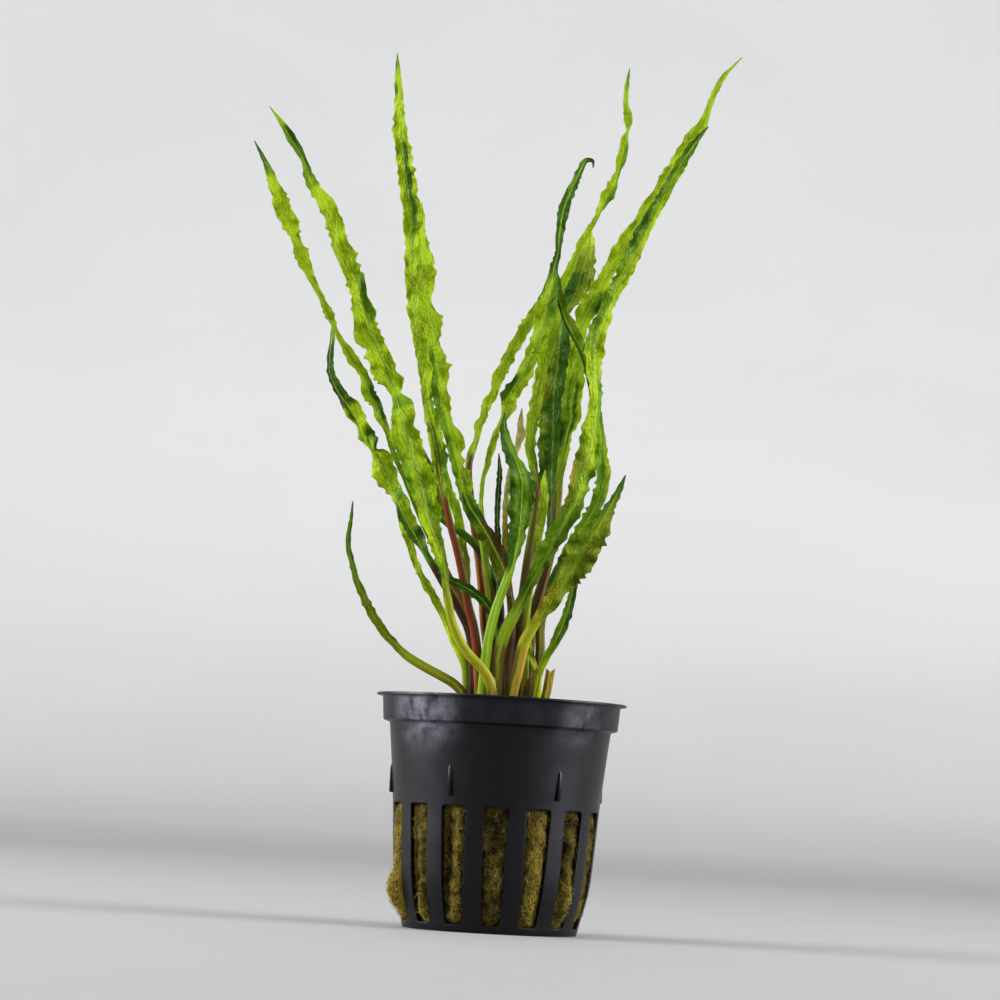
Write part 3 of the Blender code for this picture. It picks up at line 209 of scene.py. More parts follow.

# Each leaf: name, finish, foot depth, lean of the tip, side that turns forward, stalk half width, how
# steeply the blade folds along its midrib, its tones from tip to foot as height and the letters for
# the left, middle and right of the blade, and its route from tip to foot as (x, z, left, right): the
# midrib as seen from the front, and how far the margins stand to its left and right. A point with no
# margins is on the stalk.
# Tones are read as seen: dark letters on blades and stalks also paint the shade on folds and between the
# leaves
LEAVES = (
    ("leaf_far_left", "leaf_bright", 0.3, 15, 1, 0.75, 0.25,
     "177 ddd, 171 ddg, 168 bbb, 150 bbb, 144 bgb, 138 bgb, 131 bdb, 126 bgb, 118 bgd, 112 ggb, "
     "100 ggo, 86 kkk, 50 tty",
     ((-63.6, 176.5, .1, .1), (-61.7, 173.2, .5, .5), (-60.3, 170.5, .7, .8), (-58.9, 167, 1.2, 1.3),
      (-57.2, 163.5, 1.7, 2), (-55.9, 160, 1.9, 2.5), (-54.3, 156.8, 1.6, 2.2), (-52.9, 154, .9, 1),
      (-51.6, 151, 1.5, 2.3), (-50, 147.6, 1.3, 1.2), (-48.6, 145, .9, .9), (-47, 142.4, .7, .8),
      (-45.7, 140, .7, .8), (-44.2, 137.4, 1.1, 1.3), (-42.9, 134.8, .5, .5), (-41.8, 132.4, .6, .7),
      (-40, 130, 1, 1.1), (-38.4, 127.6, 1.2, 1.5), (-36.6, 125.2, .9, 1.2), (-35, 122.6, 1.1, 1.2),
      (-34, 120, 1.8, 1.5), (-32.4, 117.4, 1.2, 1.3), (-31.2, 114.8, 1.4, 1), (-29.8, 112, .7, .8),
      (-28, 107, .6, .6), (-25.4, 102, .6, .6), (-22.5, 96, .6, .6), (-17.2, 86), (-13.4, 79),
      (-11.5, 76), (-9.9, 73.1), (-8.3, 69), (-7.1, 63), (-6.2, 56.5), (-5.7, 50.1))),
    ("leaf_dark_twist", "leaf_deep", -1.7, 0, -1, 0.75, -0.3,
     "137 bgb, 132 dgd, 130 ndd, 119 nnd, 116 bdbbb, 110 gbd, 107 bbdbd, 103 bbgbb, 98 bbggg, 92 "
     "dgb, 86 ddd, 78 mmm, 50 mkt",
     ((-43.4, 136.2, .15, .15), (-43.2, 132.5, .6, .6), (-43.4, 128.5, .7, .7), (-43.2, 124.6, .9, .9),
      (-41.9, 121.4, 1, 1), (-39.8, 118.4, 1.3, 1.3), (-37.4, 115.4, 1.8, 2.6), (-35.8, 112.8, 1, 1.4),
      (-34.6, 110.2, 1.5, 2.4), (-33.4, 108.4, .9, 1.8), (-32.4, 106.8, .5, .8), (-31, 105, 1.8, 3.3),
      (-29.6, 102.5, 2.9, 2.9), (-28.3, 100, 2.8, 1.9), (-27, 97.4, 1.5, 1.5), (-25.7, 95, 1.1, 2.1),
      (-24.4, 92.4, 1.5, 2.1), (-22.8, 90, 1.6, 1.9), (-21.2, 87.6, 1.5, 1.6), (-19.6, 85, 1, 1),
      (-17.2, 81.6), (-14.6, 77.6), (-12.2, 74.2), (-10.5, 71.4), (-8.7, 68.2), (-7.5, 64), (-6.9, 59),
      (-6.6, 54.5), (-6.4, 50.1))),
    ("leaf_left_long", "leaf_bright", -8.3, 0, 1, 0.8, 0.22,
     "184 bgb, 180 gdd, 171 gdd, 168 bbb, 148 bbb, 144 bbbgd, 139 bbbgg, 136 bbgbb, 131 bbgbb, 121 "
     "bbgbb, 119 gdg, 117 bbb, 112 bblbb, 106 gblbb, 100 gblgb, 94 bblgb, 90 bboog, 84 gbooo, 79 "
     "ggooo, 76 ooo, 70 yoy, 62 yoy, 50 kyk",
     ((-60.6, 184.6, .1, .1), (-58.7, 182.2, .4, .5), (-57, 179.8, .6, .8), (-55.2, 177.3, .9, 1.2),
      (-53.6, 175, .8, 1.1), (-52, 172.3, .6, .7), (-50.9, 169.5, 1.3, 1), (-49.6, 166.8, 1.4, 1.4),
      (-47.6, 164, 1.5, 1.7), (-45.8, 161.2, 1.6, 2), (-44.4, 158, 1.7, 2.3), (-43.2, 154.6, 1.7, 1.9),
      (-41.8, 151.6, 1.6, 2.8), (-40.3, 148.4, 1.8, 2.6), (-38.6, 145, 2.1, 2), (-37.9, 142.4, 1.8, 1.8),
      (-37.2, 139.8, 2.3, 2.3), (-36, 137, 2.7, 2.6), (-34.9, 134.6, 3.3, 2.2), (-33.4, 132, 3.5, 2),
      (-32, 129.6, 3.5, 1.9), (-30.6, 127, 3.9, 1.8), (-29.4, 124.6, 3.9, 1.9), (-28.6, 122.2, 2.6, 2.2),
      (-28, 120.2, 1.4, 1), (-27.6, 118.2, 1.2, 2.4), (-26.8, 115.6, 2.4, 2.6), (-25.6, 112.8, 4, 2.6),
      (-24.6, 110.2, 4.2, 2.8), (-23.6, 107.6, 3.9, 2.7), (-22.9, 105, 3.5, 2.2), (-22, 102.5, 3.1, 3.2),
      (-21.3, 100, 2.8, 3.4), (-20.6, 97.5, 2.4, 3.5), (-19.9, 95, 2, 3.1), (-19.2, 92.4, 1.9, 2.8),
      (-18, 89.6, 2, 2), (-16.4, 86.6, 2.4, 1.1), (-15.3, 83.6, 2.1, .8), (-14.6, 80.6, 1.5, .8),
      (-14.2, 77.5, 1.1, .8), (-13.4, 73.7), (-12.4, 69.6), (-10.5, 65.4), (-7.9, 61.8), (-5.5, 59.6),
      (-3.7, 57.4), (-2.6, 54.8), (-2.3, 50.2))),
    ("leaf_left_tall", "leaf_bright", -3.6, -2, -1, 0.8, 0.2,
     "198 ggg, 190 bbb, 180 bbb, 177 bbgdb, 170 bbddb, 160 bbgdb, 153 bbgbb, 148 blb, 126 blb, 117 "
     "blobg, 112 bgkgb, 104 bgrgg, 100 grrgg, 96 rrrkg, 90 rrk, 80 rrk, 65 rrk, 50 skk",
     ((-32.1, 198.5, .1, .1), (-31.8, 195.5, .5, .5), (-31.4, 191.5, .9, .9), (-31, 187.5, 1, 1.1),
      (-30.7, 183.5, 1.4, 1.4), (-30.3, 179.8, 1.6, 1.7), (-29.7, 176.6, 1.5, 2.2), (-29, 173, 1.6, 2),
      (-28.3, 169.4, 1.8, 2.5), (-27.6, 165.8, 1.8, 2.1), (-26.9, 162.4, 1.9, 2.6),
      (-26.7, 158.8, 1.7, 2.4), (-26.3, 155.6, 1.5, 2), (-26.1, 152.4, 1.5, 1.4),
      (-25.9, 149.4, 1.6, 1.2), (-25.6, 146, 1.7, 1.2), (-25.2, 142.6, 1.5, 1.2),
      (-24.8, 139.2, 1.3, 1.4), (-24.1, 135.8, 1.3, 1.8), (-23.4, 132.4, 1.2, 2),
      (-22.8, 129.4, 1.2, 2.1), (-22.1, 126, 1, 2), (-21.6, 122.6, .8, 1.9), (-20.9, 119, .9, 1.7),
      (-20.1, 115.6, 1, 2), (-19.2, 112.6, 1.1, 2.1), (-18.3, 109.4, 1.4, 2.2), (-17.6, 106.2, 1.5, 2.3),
      (-17, 103.2, 1.3, 2.1), (-16.2, 100, 1, 1.6), (-14.9, 95.2), (-13.8, 90.8), (-12.4, 86.6),
      (-10.9, 81.4), (-10, 78), (-8.8, 73), (-7.5, 69), (-6.4, 64), (-5.8, 59), (-5.3, 55), (-5, 50.1))),
    ("leaf_left_inner", "leaf_bright", -2.2, 5, 1, 0.8, -0.22,
     "164 bbb, 135 bbb, 130 gbb, 122 gbb, 116 gbb, 108 gbb, 100 gbbgb, 95 gdgdg, 93 ddd, 90 ook, "
     "80 ook, 76 kmk, 66 mmm, 50 mkk",
     ((-24.6, 164.5, .1, .1), (-24.6, 161.5, .8, 1.1), (-24.5, 158, 1.1, 1.4), (-24.2, 154.6, 1.4, 2.2),
      (-23.9, 151, 1.7, 2.9), (-23.5, 147.6, 1.8, 3.3), (-23, 144.6, 1.8, 2.6), (-22.4, 141.8, 1.9, 1.7),
      (-21.8, 139.4, 1.9, 2.6), (-21.2, 137, 2, 3.2), (-20.6, 134.6, 2, 2.4), (-20.2, 132.2, 1.8, 1.8),
      (-19.6, 129.4, 1.6, 2.4), (-18.9, 126.6, 1.7, 3.1), (-18.4, 124.2, 1.8, 2.4), (-18, 122, 1.9, 1.8),
      (-17.4, 119.4, 1.9, 2.3), (-16.8, 116.6, 1.8, 1.7), (-15.8, 114, 1.6, 1.5),
      (-14.9, 111.6, 1.5, 2.4), (-14.4, 109.6, 1.4, 3), (-13.8, 107.2, 1.3, 2.1), (-13.1, 104.6, 1.2, 2),
      (-12.4, 102.2, 1.2, 2.6), (-11.8, 100, 1.1, 2.8), (-11.2, 98, 1, 2.2), (-10.2, 96, 1.2, 2.4),
      (-8.6, 93.8, 1.6, 1.9), (-6.6, 91, 1.9, 1.8), (-4.6, 87.8, 2, 2.2), (-2.7, 84.6, 2.2, 2.2),
      (-1, 81, 1.8, 1.8), (.3, 77, 1.1, 1.1), (1.1, 72.5), (1.1, 67), (.8, 61), (.5, 55.5), (.3, 50.1))),
    ("leaf_left_short", "leaf_deep", 2.3, 0, 1, 0.85, 0.3,
     "108 dgd, 92 ddg, 89 ddd, 84 mmd, 70 mmm, 50 mmm",
     ((-20.9, 108, .1, .1), (-20, 104.5, 1, 1), (-18.9, 101, 1.6, 1.6), (-17.9, 97.4, 1.9, 1.9),
      (-16.8, 94, 1.7, 1.6), (-15, 91.6, 1.2, 1.2), (-12.6, 90.2), (-10, 88.6), (-7.8, 86.6),
      (-5.8, 83.6), (-4.1, 80.2), (-2.6, 77), (-1.6, 72.5), (-1.5, 67), (-1.7, 61), (-1.8, 56),
      (-1.8, 50.1))),
    ("leaf_arching", "leaf_olive", -3.2, 0, 1, 0.75, 0.25,
     "95 dgd, 88 ggd, 80 gog, 72 oyo, 66 oyo, 60 oyo, 50 kyk",
     ((-36.3, 95.3, .1, .1), (-36.5, 91.5, .35, .4), (-36.8, 87.5, .6, .5), (-36.6, 84.2, .6, .6),
      (-35.7, 81, .6, .7), (-34.7, 78, .8, .7), (-33.5, 75.2, .8, 1), (-32, 72.6, 1, 1),
      (-30.4, 70, 1.1, 1), (-28.6, 67.4, 1.1, 1), (-26.6, 65, 1, 1), (-24.4, 62.8, .9, .9), (-22, 60.9),
      (-19.4, 59.4), (-16.6, 58), (-13.8, 56.7), (-11.2, 55.3), (-9, 53.2), (-7.8, 50.4))),
    ("leaf_left_low", "leaf_bright", 1, 0, -1, 0.7, 0.25,
     "96 bbb, 80 bgb, 66 bbg, 60 ooo, 50 oko",
     ((-26.6, 96.5, .1, .1), (-25.4, 92.8, .6, .6), (-24.2, 89.6, .9, .7), (-22.9, 86.4, 1, 1),
      (-21.7, 83.4, .8, .8), (-20.3, 80.4, .8, .7), (-18.8, 77.6, .9, 1), (-16.8, 74.8, 1, .9),
      (-14.9, 71.8, .9, .8), (-13.4, 68.6, .8, .7), (-11.9, 65.4), (-10.2, 62.4), (-8.8, 59.6),
      (-8.2, 56), (-8.1, 50.1))),
    ("leaf_left_back", "leaf_bright", 2.8, 4, 1, 0.7, -0.2,
     "117 oyo, 104 yoy, 98 bbb, 76 yoy, 50 okt",
     ((-19.1, 117, .1, .1), (-18.8, 114, .7, .7), (-18.1, 111.4, .8, .8), (-17.2, 109, 1, 1),
      (-16.6, 106.6, 1, 1), (-16.1, 104, .9, .9), (-15.4, 101.2, 1, 1), (-14.4, 98.4, 1.1, 1.1),
      (-13.1, 95.2, 1.1, 1.3), (-11.8, 91.6, .9, 1.1), (-10.9, 87.6, 1, 1), (-10.2, 83.6, .9, 1.1),
      (-9.5, 79.6, .9, .9), (-9.1, 75.6), (-8.8, 71.6), (-8, 67.6), (-7.3, 63), (-7, 58), (-6.9, 50.1))),
    ("leaf_strap", "leaf_deep", -4.4, 0, -1, 0.7, 0.2,
     "80 ddd, 70 ddn, 60 ddn, 50 kdn",
     ((-16.2, 80.4, .1, .1), (-13.8, 79, .7, .7), (-11.2, 77.9, 1, 1), (-8.6, 76.6, 1.2, 1.1),
      (-6.2, 75, 1.1, 1.2), (-4.2, 73, 1, 1), (-2.6, 70.4, .8, .8), (-1.4, 66.5), (-.8, 61), (-.5, 55),
      (-.4, 50.1))),
    ("leaf_hooked", "leaf_deep", 4.2, 8, 1, 0.85, 0.25,
     "177 dgd, 171 gdd, 165 dgd, 150 dgd, 146 gdb, 140 bgb, 110 bbb, 106 okk, 95 kkk, 84 srs, 73 "
     "srr, 62 kmk, 50 mmk",
     ((14.1, 174.5, .1, .1), (13.9, 176.2, .35, .35), (12.5, 176.3, .5, .5), (11.2, 174.2, .8, .8),
      (10.1, 171.2, .9, .9), (8.9, 168, 1.2, 1.1), (7.9, 164.8, 1.3, 1.3), (7.4, 161.4, 1.2, 1.2),
      (7.1, 158, 1, .9), (7, 154.8, .7, .7), (6.4, 151.6, 1, .9), (5.8, 148.4, 1.1, 1.1),
      (4.9, 145, 1.3, 1.3), (3.4, 142, 1.3, 1.2), (2, 139.4, 1.4, 1.5), (.2, 136.6, 1.4, 1.4),
      (-1.2, 133.6, 1.2, 1.3), (-2.4, 130.8, 1.5, 1.3), (-3.9, 127.6, 1.3, 1.4), (-5.1, 124.6, 1.4, 1.2),
      (-5.8, 121.8, .9, 1), (-7, 119, 1.5, .9), (-7.9, 116.2, .8, .9), (-8.8, 113.6, 1.2, .8),
      (-9.1, 111.2, .6, .7), (-9.8, 108.8, .9, .8), (-10.4, 106), (-10.4, 102.5), (-9.8, 98.5),
      (-9.2, 95), (-8.2, 89.5), (-7.1, 84), (-6.3, 79.5), (-5.6, 75), (-5, 70), (-4.1, 65), (-3.3, 60),
      (-2.8, 55), (-2.6, 50.1))),
    ("leaf_centre_jagged", "leaf_bright", -0.4, 0, -1, 0.8, -0.25,
     "151 gdg, 145 bbg, 130 bgb, 124 dgb, 118 bgb, 100 bgb, 90 gog, 70 kok, 50 mkm",
     ((6.6, 151, .1, .1), (6.3, 148.2, 1.1, 1), (5.8, 145, 1.9, 1.6), (5, 141.4, 2.8, 2.5),
      (4.4, 138, 2, 2.2), (3.8, 135, 2.1, 1.7), (3.1, 132.4, 2, 1.5), (2, 129.6, 1.7, 1.7),
      (.8, 126.6, 1.6, 2), (-.9, 123.6, 1.8, 2), (-2.4, 121, 1.8, 2.1), (-2.8, 118.4, 1.3, 1.7),
      (-3.4, 116, .8, .9), (-4.5, 113.6, .7, .7), (-5.1, 111, .8, .9), (-5.8, 108.1, .8, .8),
      (-6.4, 105.1, .7, .7), (-7.1, 102.4, .5, .5), (-7.3, 99.4, .5, .5), (-7.3, 96.4, .5, .5),
      (-6.9, 92.4), (-6.2, 87.5), (-5.2, 82), (-4.2, 76.5), (-3.6, 71), (-3.2, 65.5), (-2.7, 60),
      (-2.2, 55), (-1.9, 50.1))),
    ("leaf_front", "leaf_deep", -6.4, 0, 1, 0.85, -0.3,
     "118 ddd, 108 ddg, 98 dgdgd, 90 dgg, 84 dlg, 78 glg, 60 glg, 50 ggo",
     ((-2.9, 117.4, .1, .1), (-2.9, 114.4, .8, .8), (-2.5, 111.6, 1.1, 1.2), (-1.3, 108.8, 1.3, 1.5),
      (.3, 106, 1.6, 1.8), (1.4, 103.2, 2.3, 2.7), (1.9, 100.4, 2.9, 3.1), (2, 97.2, 2.8, 3),
      (1.95, 94, 2.5, 2.6), (1.8, 90.6, 2.1, 2), (1.4, 87, 1.6, 1.8), (.8, 83.6, 1.1, 1.1), (-.2, 80.2),
      (-1.3, 76.6), (-2.4, 73), (-3.2, 69.4), (-3.8, 65.6), (-4.1, 61.6), (-4.3, 57.5), (-4.4, 53.5),
      (-4.4, 50.1))),
    ("leaf_old_pale", "leaf_old", -0.2, 0, -1, 0.7, 0.2,
     "118 ccc, 100 cyc, 90 yyt, 84 yty, 70 kyk, 58 mkm, 50 mmm",
     ((.9, 118.6, .1, .1), (.8, 115.4, .7, .7), (1, 112.8, 1, 1.1), (.6, 110.6, .8, .9),
      (.3, 108.4, .6, .5), (-.3, 106, .6, .6), (-1, 103.6, .7, .7), (-1.4, 100, .7, .7),
      (-1.5, 96, .7, .6), (-1.4, 92, .6, .6), (-1.1, 88, .9, .9), (-.7, 84, .7, .7), (-.1, 79.5),
      (.7, 74.5), (1.3, 69), (1.4, 63), (1.3, 57), (1.2, 50.1))),
    ("leaf_edge_on", "leaf_deep", 1.2, 0, 1, 0.6, 0.1,
     "108 nnn, 50 nnn",
     ((-3.8, 108, .1, .1), (-3.4, 104, .6, .6), (-3.4, 100, .7, .7), (-3.5, 96, .6, .7),
      (-3.3, 92, .6, .6), (-2.8, 88, .8, .8), (-2.1, 84.4, .7, .7), (-1.9, 80), (-2, 75), (-2.5, 69.5),
      (-3, 64), (-3.5, 58), (-3.7, 50.1))),
    ("leaf_upright", "leaf_bright", 1.2, 11, 1, 0.85, -0.2,
     "198 ggg, 186 bgb, 176 bbg, 150 bgb, 120 bgb, 110 bgg, 100 okk, 75 kkm, 50 mmk",
     ((21.2, 198, .1, .1), (20.9, 194.6, .5, .5), (20.8, 191, .55, .55), (21.1, 188, .8, 1),
      (21.5, 186, 1.1, 1.1), (21.5, 183.6, .3, .3), (20.9, 181.2, .9, 1.1), (20.7, 178.6, 1.1, 1.2),
      (20.2, 176.4, 1.2, 1.1), (19.7, 173.6, .5, .6), (18.9, 170.9, 1.1, 1.2), (17.6, 168.4, 1.5, 1.6),
      (16.6, 166.2, .7, .9), (15.4, 163, .5, .5), (13.9, 159.8, 1, .6), (12.6, 157.4, .9, .7),
      (11.4, 154.4, .8, 1), (10.4, 151.4, 1, .8), (9, 148.2, 1, 1), (8.2, 144, .9, .9),
      (7.5, 139.6, 1.3, 1.2), (6.7, 135.4, 1.5, 1.3), (5.8, 131.2, 1.4, 1.2), (5.1, 127, 1.6, 1.2),
      (4.6, 122.6, 1.6, 1.2), (3.9, 118.4, 1.6, 1.3), (3.4, 115, 1.4, 1.4), (3.3, 112, 1.1, 1.2),
      (3.4, 109, 1.3, 1.2), (4.2, 106, 1, 1), (4.9, 103, .9, .9), (5.3, 100), (5.1, 95.5), (4.7, 91),
      (4.2, 86.5), (3.8, 82), (3.5, 77.5), (3.1, 72), (2.9, 66), (2.8, 60), (2.8, 55), (2.8, 50.1))),
    ("leaf_centre_broad", "leaf_olive", 3.6, 5, -1, 0.95, 0.16,
     "160 bob, 152 ooo, 148 ddo, 143 ddo, 140 gdd, 137 bgd, 134 boddd, 124 yoddd, 119 odddd, 100 "
     "ddddg, 94 dkd, 90 kmk, 70 kmm, 50 mkk",
     ((14.3, 160.4, .1, .1), (14.3, 157.4, 1.1, 1.1), (14, 154.2, 1.8, 1.8), (13.1, 151, 2.7, 2.8),
      (12.3, 147.8, 3, 3), (11.3, 144.8, 2.6, 2.8), (10.1, 142.2, 1.7, 1.8), (9.3, 140.2, .9, 1),
      (8.9, 138, 1.4, 1.4), (8.7, 135.4, 2.7, 2.4), (8.6, 132.6, 3.7, 3.1), (8.4, 129.6, 3.9, 3.3),
      (8.2, 126.4, 3.5, 3.3), (8, 122.8, 3.4, 3.2), (8.1, 119, 3.4, 3), (8.3, 115.2, 3.6, 2.9),
      (8.4, 111.4, 3.6, 2.9), (8.5, 107.6, 3.4, 2.4), (8.6, 104, 3, 1.9), (8.8, 100.4, 2.1, 1.7),
      (8.9, 96.8, 1, 1.7), (9, 93.4, .9, 1.2), (9, 90, 1, 1), (8.7, 85.5), (8.1, 81), (7, 76.5),
      (5.6, 71.5), (4.5, 66), (3.9, 60), (3.8, 55), (3.8, 50.1))),
    ("leaf_centre_small", "leaf_bright", -1.6, 0, 1, 0.65, 0.25,
     "105 bbb, 80 ooo, 50 oyo",
     ((6.9, 104.8, .1, .1), (6.7, 101.5, .8, .8), (7, 98, 1, 1.1), (6.8, 94.4, 1.2, 1), (6.3, 91, 1, .9),
      (5.9, 87.4, 1.1, 1), (5.6, 83.8, .9, .9), (5.2, 79.6), (4.7, 74.6), (4.5, 69), (4.7, 63), (4.9, 57),
      (5, 50.1))),
    ("leaf_right_tall", "leaf_bright", 1.4, 7, -1, 0.9, 0.2,
     "202 bbb, 186 bgb, 180 bbb, 150 bbb, 143 bbggd, 138 bgb, 128 bgb, 123 bgbdb, 113 dggdb, 108 "
     "bgb, 96 kok, 80 kmk, 50 kmk",
     ((46.8, 202, .1, .1), (45, 200, .3, .3), (42.9, 197.4, .6, .6), (41.3, 194.4, .75, .75),
      (40.2, 191.2, .7, .7), (39.5, 188.2, .9, .7), (38, 185.2, 1.4, 1.4), (36.2, 182.4, 1.6, 1.5),
      (34.2, 179.2, 1.4, 1.4), (32.4, 176, 1.2, 1.4), (30.8, 172.8, 1.7, 1.6), (29, 169.4, 1.1, 1.6),
      (27, 166, 1.8, 1.6), (25.4, 162.6, 1.3, 1.6), (23.6, 159.4, 2, 1.6), (21.6, 156.2, 2, 1.8),
      (19.8, 152.6, 1.6, 1.8), (18.2, 149, 1.8, 1.8), (16.6, 145.8, 2.1, 2.1), (15, 142.6, 2.7, 2.6),
      (13.8, 139.2, 1.9, 2), (12.9, 135.6, 1.6, 1.8), (12.7, 131.6, 1.5, 1.8), (12.7, 127.6, 2, 2.2),
      (12.3, 124, 2.3, 2.5), (12.1, 120.4, 2.2, 2.3), (12.1, 116.8, 2.1, 2.6), (11.5, 113.2, 1.4, 1.4),
      (11.2, 109.8, 1.2, 1.4), (10.8, 106, 1, 1), (10.4, 102.6, .9, .8), (10.2, 99), (10.1, 95.4),
      (10.4, 91.5), (9.4, 86.5), (8.3, 81), (7.1, 75.5), (6.1, 69.5), (5.6, 63), (5.6, 57), (5.7, 50.1))),
    ("leaf_right_long", "leaf_deep", -6.3, 0, 1, 1.1, -0.3,
     "184 dgd, 175 ggg, 168 dggbb, 158 dglbb, 150 gblbb, 140 glb, 130 blb, 122 bbg, 110 gblbg, 102 "
     "yglbg, 94 gglgg, 84 ggg, 78 dgg, 70 ogo, 62 kok, 50 kkk",
     ((39.9, 185.6, .1, .1), (38, 183, .5, .5), (36.2, 180.2, 1, 1), (34.5, 177.4, 1.2, 1.3),
      (33, 174.4, 1.2, 1.4), (31.6, 171.2, 1.4, 1.2), (30.2, 168, 1.5, 1.1), (28.8, 164.6, 1.5, 1),
      (27.2, 161, 1.9, 1), (25.8, 157.6, 2.3, 1.2), (24.2, 154, 2.4, 1.4), (22.6, 150.2, 2, 1.5),
      (21, 146.4, 1.8, 1.2), (19.3, 142.8, 1.6, 1.4), (18.5, 140.2, 1.7, 1.9), (17.3, 137.4, 2.2, 2.3),
      (16.7, 134.6, 2.2, 2.3), (16.5, 131.8, 2, 2.4), (16.7, 128.8, 1.4, 2.2), (17.1, 125.6, 1.2, 2),
      (17.6, 122.4, 1.4, 1.7), (17.7, 118.8, 1.5, 1.5), (17.3, 115.4, 2.1, 1.9), (17, 112.2, 2.2, 2.4),
      (16.5, 109.2, 2.4, 3), (16, 106.4, 2.7, 3), (15.4, 103.6, 2.4, 2.6), (14.7, 100.6, 1.9, 2.5),
      (13.9, 97.6, 2, 2.5), (12.9, 94.8, 2.3, 2.3), (11.4, 91.8, 2.3, 2.1), (9.9, 88.8, 2.2, 2),
      (8.4, 85.8, 1.8, 1.9), (7, 83, 1.4, 1.7), (5.6, 80.2, 1.2, 1.5), (4.2, 77.2, 1.2, 1.4),
      (2.9, 74.2, 1.2, 1.3), (1.5, 71.2), (-.2, 67.2), (-1.1, 63.6), (-1.4, 59.6), (-1.3, 55),
      (-1.2, 50.1))),
    ("leaf_right_back", "leaf_deep", -0.8, 4, -1, 0.8, 0.25,
     "151 dgd, 142 dgo, 130 dog, 124 kod, 118 gbg, 108 gdb, 90 ggd, 80 ddg, 74 kok, 50 mmk",
     ((6.9, 151, .1, .1), (7.3, 147.4, .6, 1.1), (8.1, 143.6, .7, 1.4), (9.6, 139.6, .7, 1.6),
      (11.5, 136, .7, 1.7), (13.5, 132.8, .7, 1.7), (14.9, 129.6, .7, 1.6), (15.8, 126.2, .7, 1.5),
      (16.9, 122.4, .8, 1.3), (18, 118.6, .8, 1), (19, 115, .8, .9), (19.4, 111.6, 1, 1.1),
      (19.8, 108.6, 1.3, 1.3), (20.3, 105, 1.7, 1.5), (20.1, 101.4, 1.8, 1.4), (19.2, 98, 1.6, 1.4),
      (17.8, 94.8, 1.6, 1.4), (16, 91.6, 1.6, 1.4), (14.2, 88.2, 1.5, 1.5), (12.5, 84.6, 1.4, 1.3),
      (10.9, 81, 1.2, 1.1), (9.4, 77.2, .9, .9), (8.3, 73), (7.8, 68.6), (8, 64.4), (7.9, 60),
      (7.4, 55.5), (7.3, 50.1))),
    ("leaf_right_broad", "leaf_olive", -6.8, 0, 1, 1, 0.18,
     "104 ddd, 98 dgo, 93 goo, 84 ogo, 80 ooo, 74 yoo, 66 yoy, 60 kyt, 50 kyk",
     ((25.2, 104.7, .1, .1), (24.3, 102.2, .7, .6), (23.2, 99.8, .8, .9), (22, 97.4, 1.2, 1.1),
      (20.9, 95, 2.1, 1.8), (19.6, 92.5, 2.6, 2.7), (18, 90, 3.3, 3.5), (16.7, 87.5, 3.8, 3.6),
      (15.5, 85, 3.2, 3.7), (14.2, 82.5, 2.7, 3.1), (12.7, 80, 1.8, 2.5), (11.3, 77.6, 2, 1.7),
      (10, 75.4, 1.9, 1.7), (8.6, 73.2, 1.7, 1.5), (7.1, 71, 1.5, 1.4), (5.7, 68.4), (4.4, 65.6),
      (3.6, 62), (3, 58.4), (2.3, 55), (1.8, 50.2))),
    ("leaf_right_low", "leaf_deep", -4.3, 0, -1, 0.75, -0.2,
     "82 dgd, 70 ggd, 62 bgb, 58 oyo, 50 yyt",
     ((15.6, 82, .1, .1), (15, 79.4, .6, .6), (14.6, 76.8, 1, .8), (14.1, 74, 1.2, .9),
      (13.3, 71.2, 1.2, 1.2), (12.3, 68.4, 1.2, 1.3), (11.1, 65.6, 1.1, 1), (9.9, 63.2, 1, .9),
      (8.8, 60.8, .9, .8), (7.8, 58), (7.2, 55), (6.9, 50.1))),
    ("leaf_young", "leaf_bright", -2.6, 0, 1, 0.6, 0.3,
     "67 bbb, 58 byt",
     ((5.3, 67.6, .1, .1), (5.4, 65.4, .6, .6), (5.9, 63.2, .8, .8), (6.6, 61, .7, .7), (7.3, 58.8),
      (7.9, 56), (8, 50.1))),
)

# Small pieces on the crown: name, finish, tones, depth, foot (x, z), top (x, z), half widths at foot
# and top, half thickness
STUBS = (
    ("cut_petiole", "leaf_old", "tyt", -4.7, (8.9, 49.4), (10.6, 59.4), (0.9, 1.0), 0.7),
    ("young_shoot", "leaf_bright", "gbb", -6.7, (7.4, 49.4), (8.5, 59.0), (0.75, 0.4), 0.6),
    ("dead_sheath", "dead_brown", "kmk", -6.6, (5.5, 49.4), (6.1, 57.8), (0.8, 1.1), 0.5),
    ("pale_sheath", "leaf_old", "ccc", -8.4, (-1.9, 55.6), (-2.6, 61.6), (0.3, 0.15), 0.14),
)


# ---------------------------------------------------------------- node helpers


class Flow:
    """A socket's value in a node tree, so that sums of nodes are written like plain sums."""

    def __init__(self, socket):
        self.socket = socket
        self.tree = socket.id_data

    def __add__(self, other):
        return maths(self.tree, "ADD", self, other)

    def __sub__(self, other):
        return maths(self.tree, "SUBTRACT", self, other)

    def __rsub__(self, other):
        return maths(self.tree, "SUBTRACT", other, self)

    def __mul__(self, other):
        return maths(self.tree, "MULTIPLY", self, other)

    def __truediv__(self, other):
        return maths(self.tree, "DIVIDE", self, other)

    def __rtruediv__(self, other):
        return maths(self.tree, "DIVIDE", other, self)

    def __pow__(self, power):
        return maths(self.tree, "POWER", self, power)

    def __abs__(self):
        return maths(self.tree, "ABSOLUTE", self)

    def scaled(self, factor, offset):
        return maths(self.tree, "MULTIPLY_ADD", self, factor, offset)


def feed(node, inputs):
    """Set or link a node's inputs, by name or number."""
    for key, value in inputs.items():
        if isinstance(value, Flow):
            node.id_data.links.new(value.socket, node.inputs[key])
        else:
            node.inputs[key].default_value = value


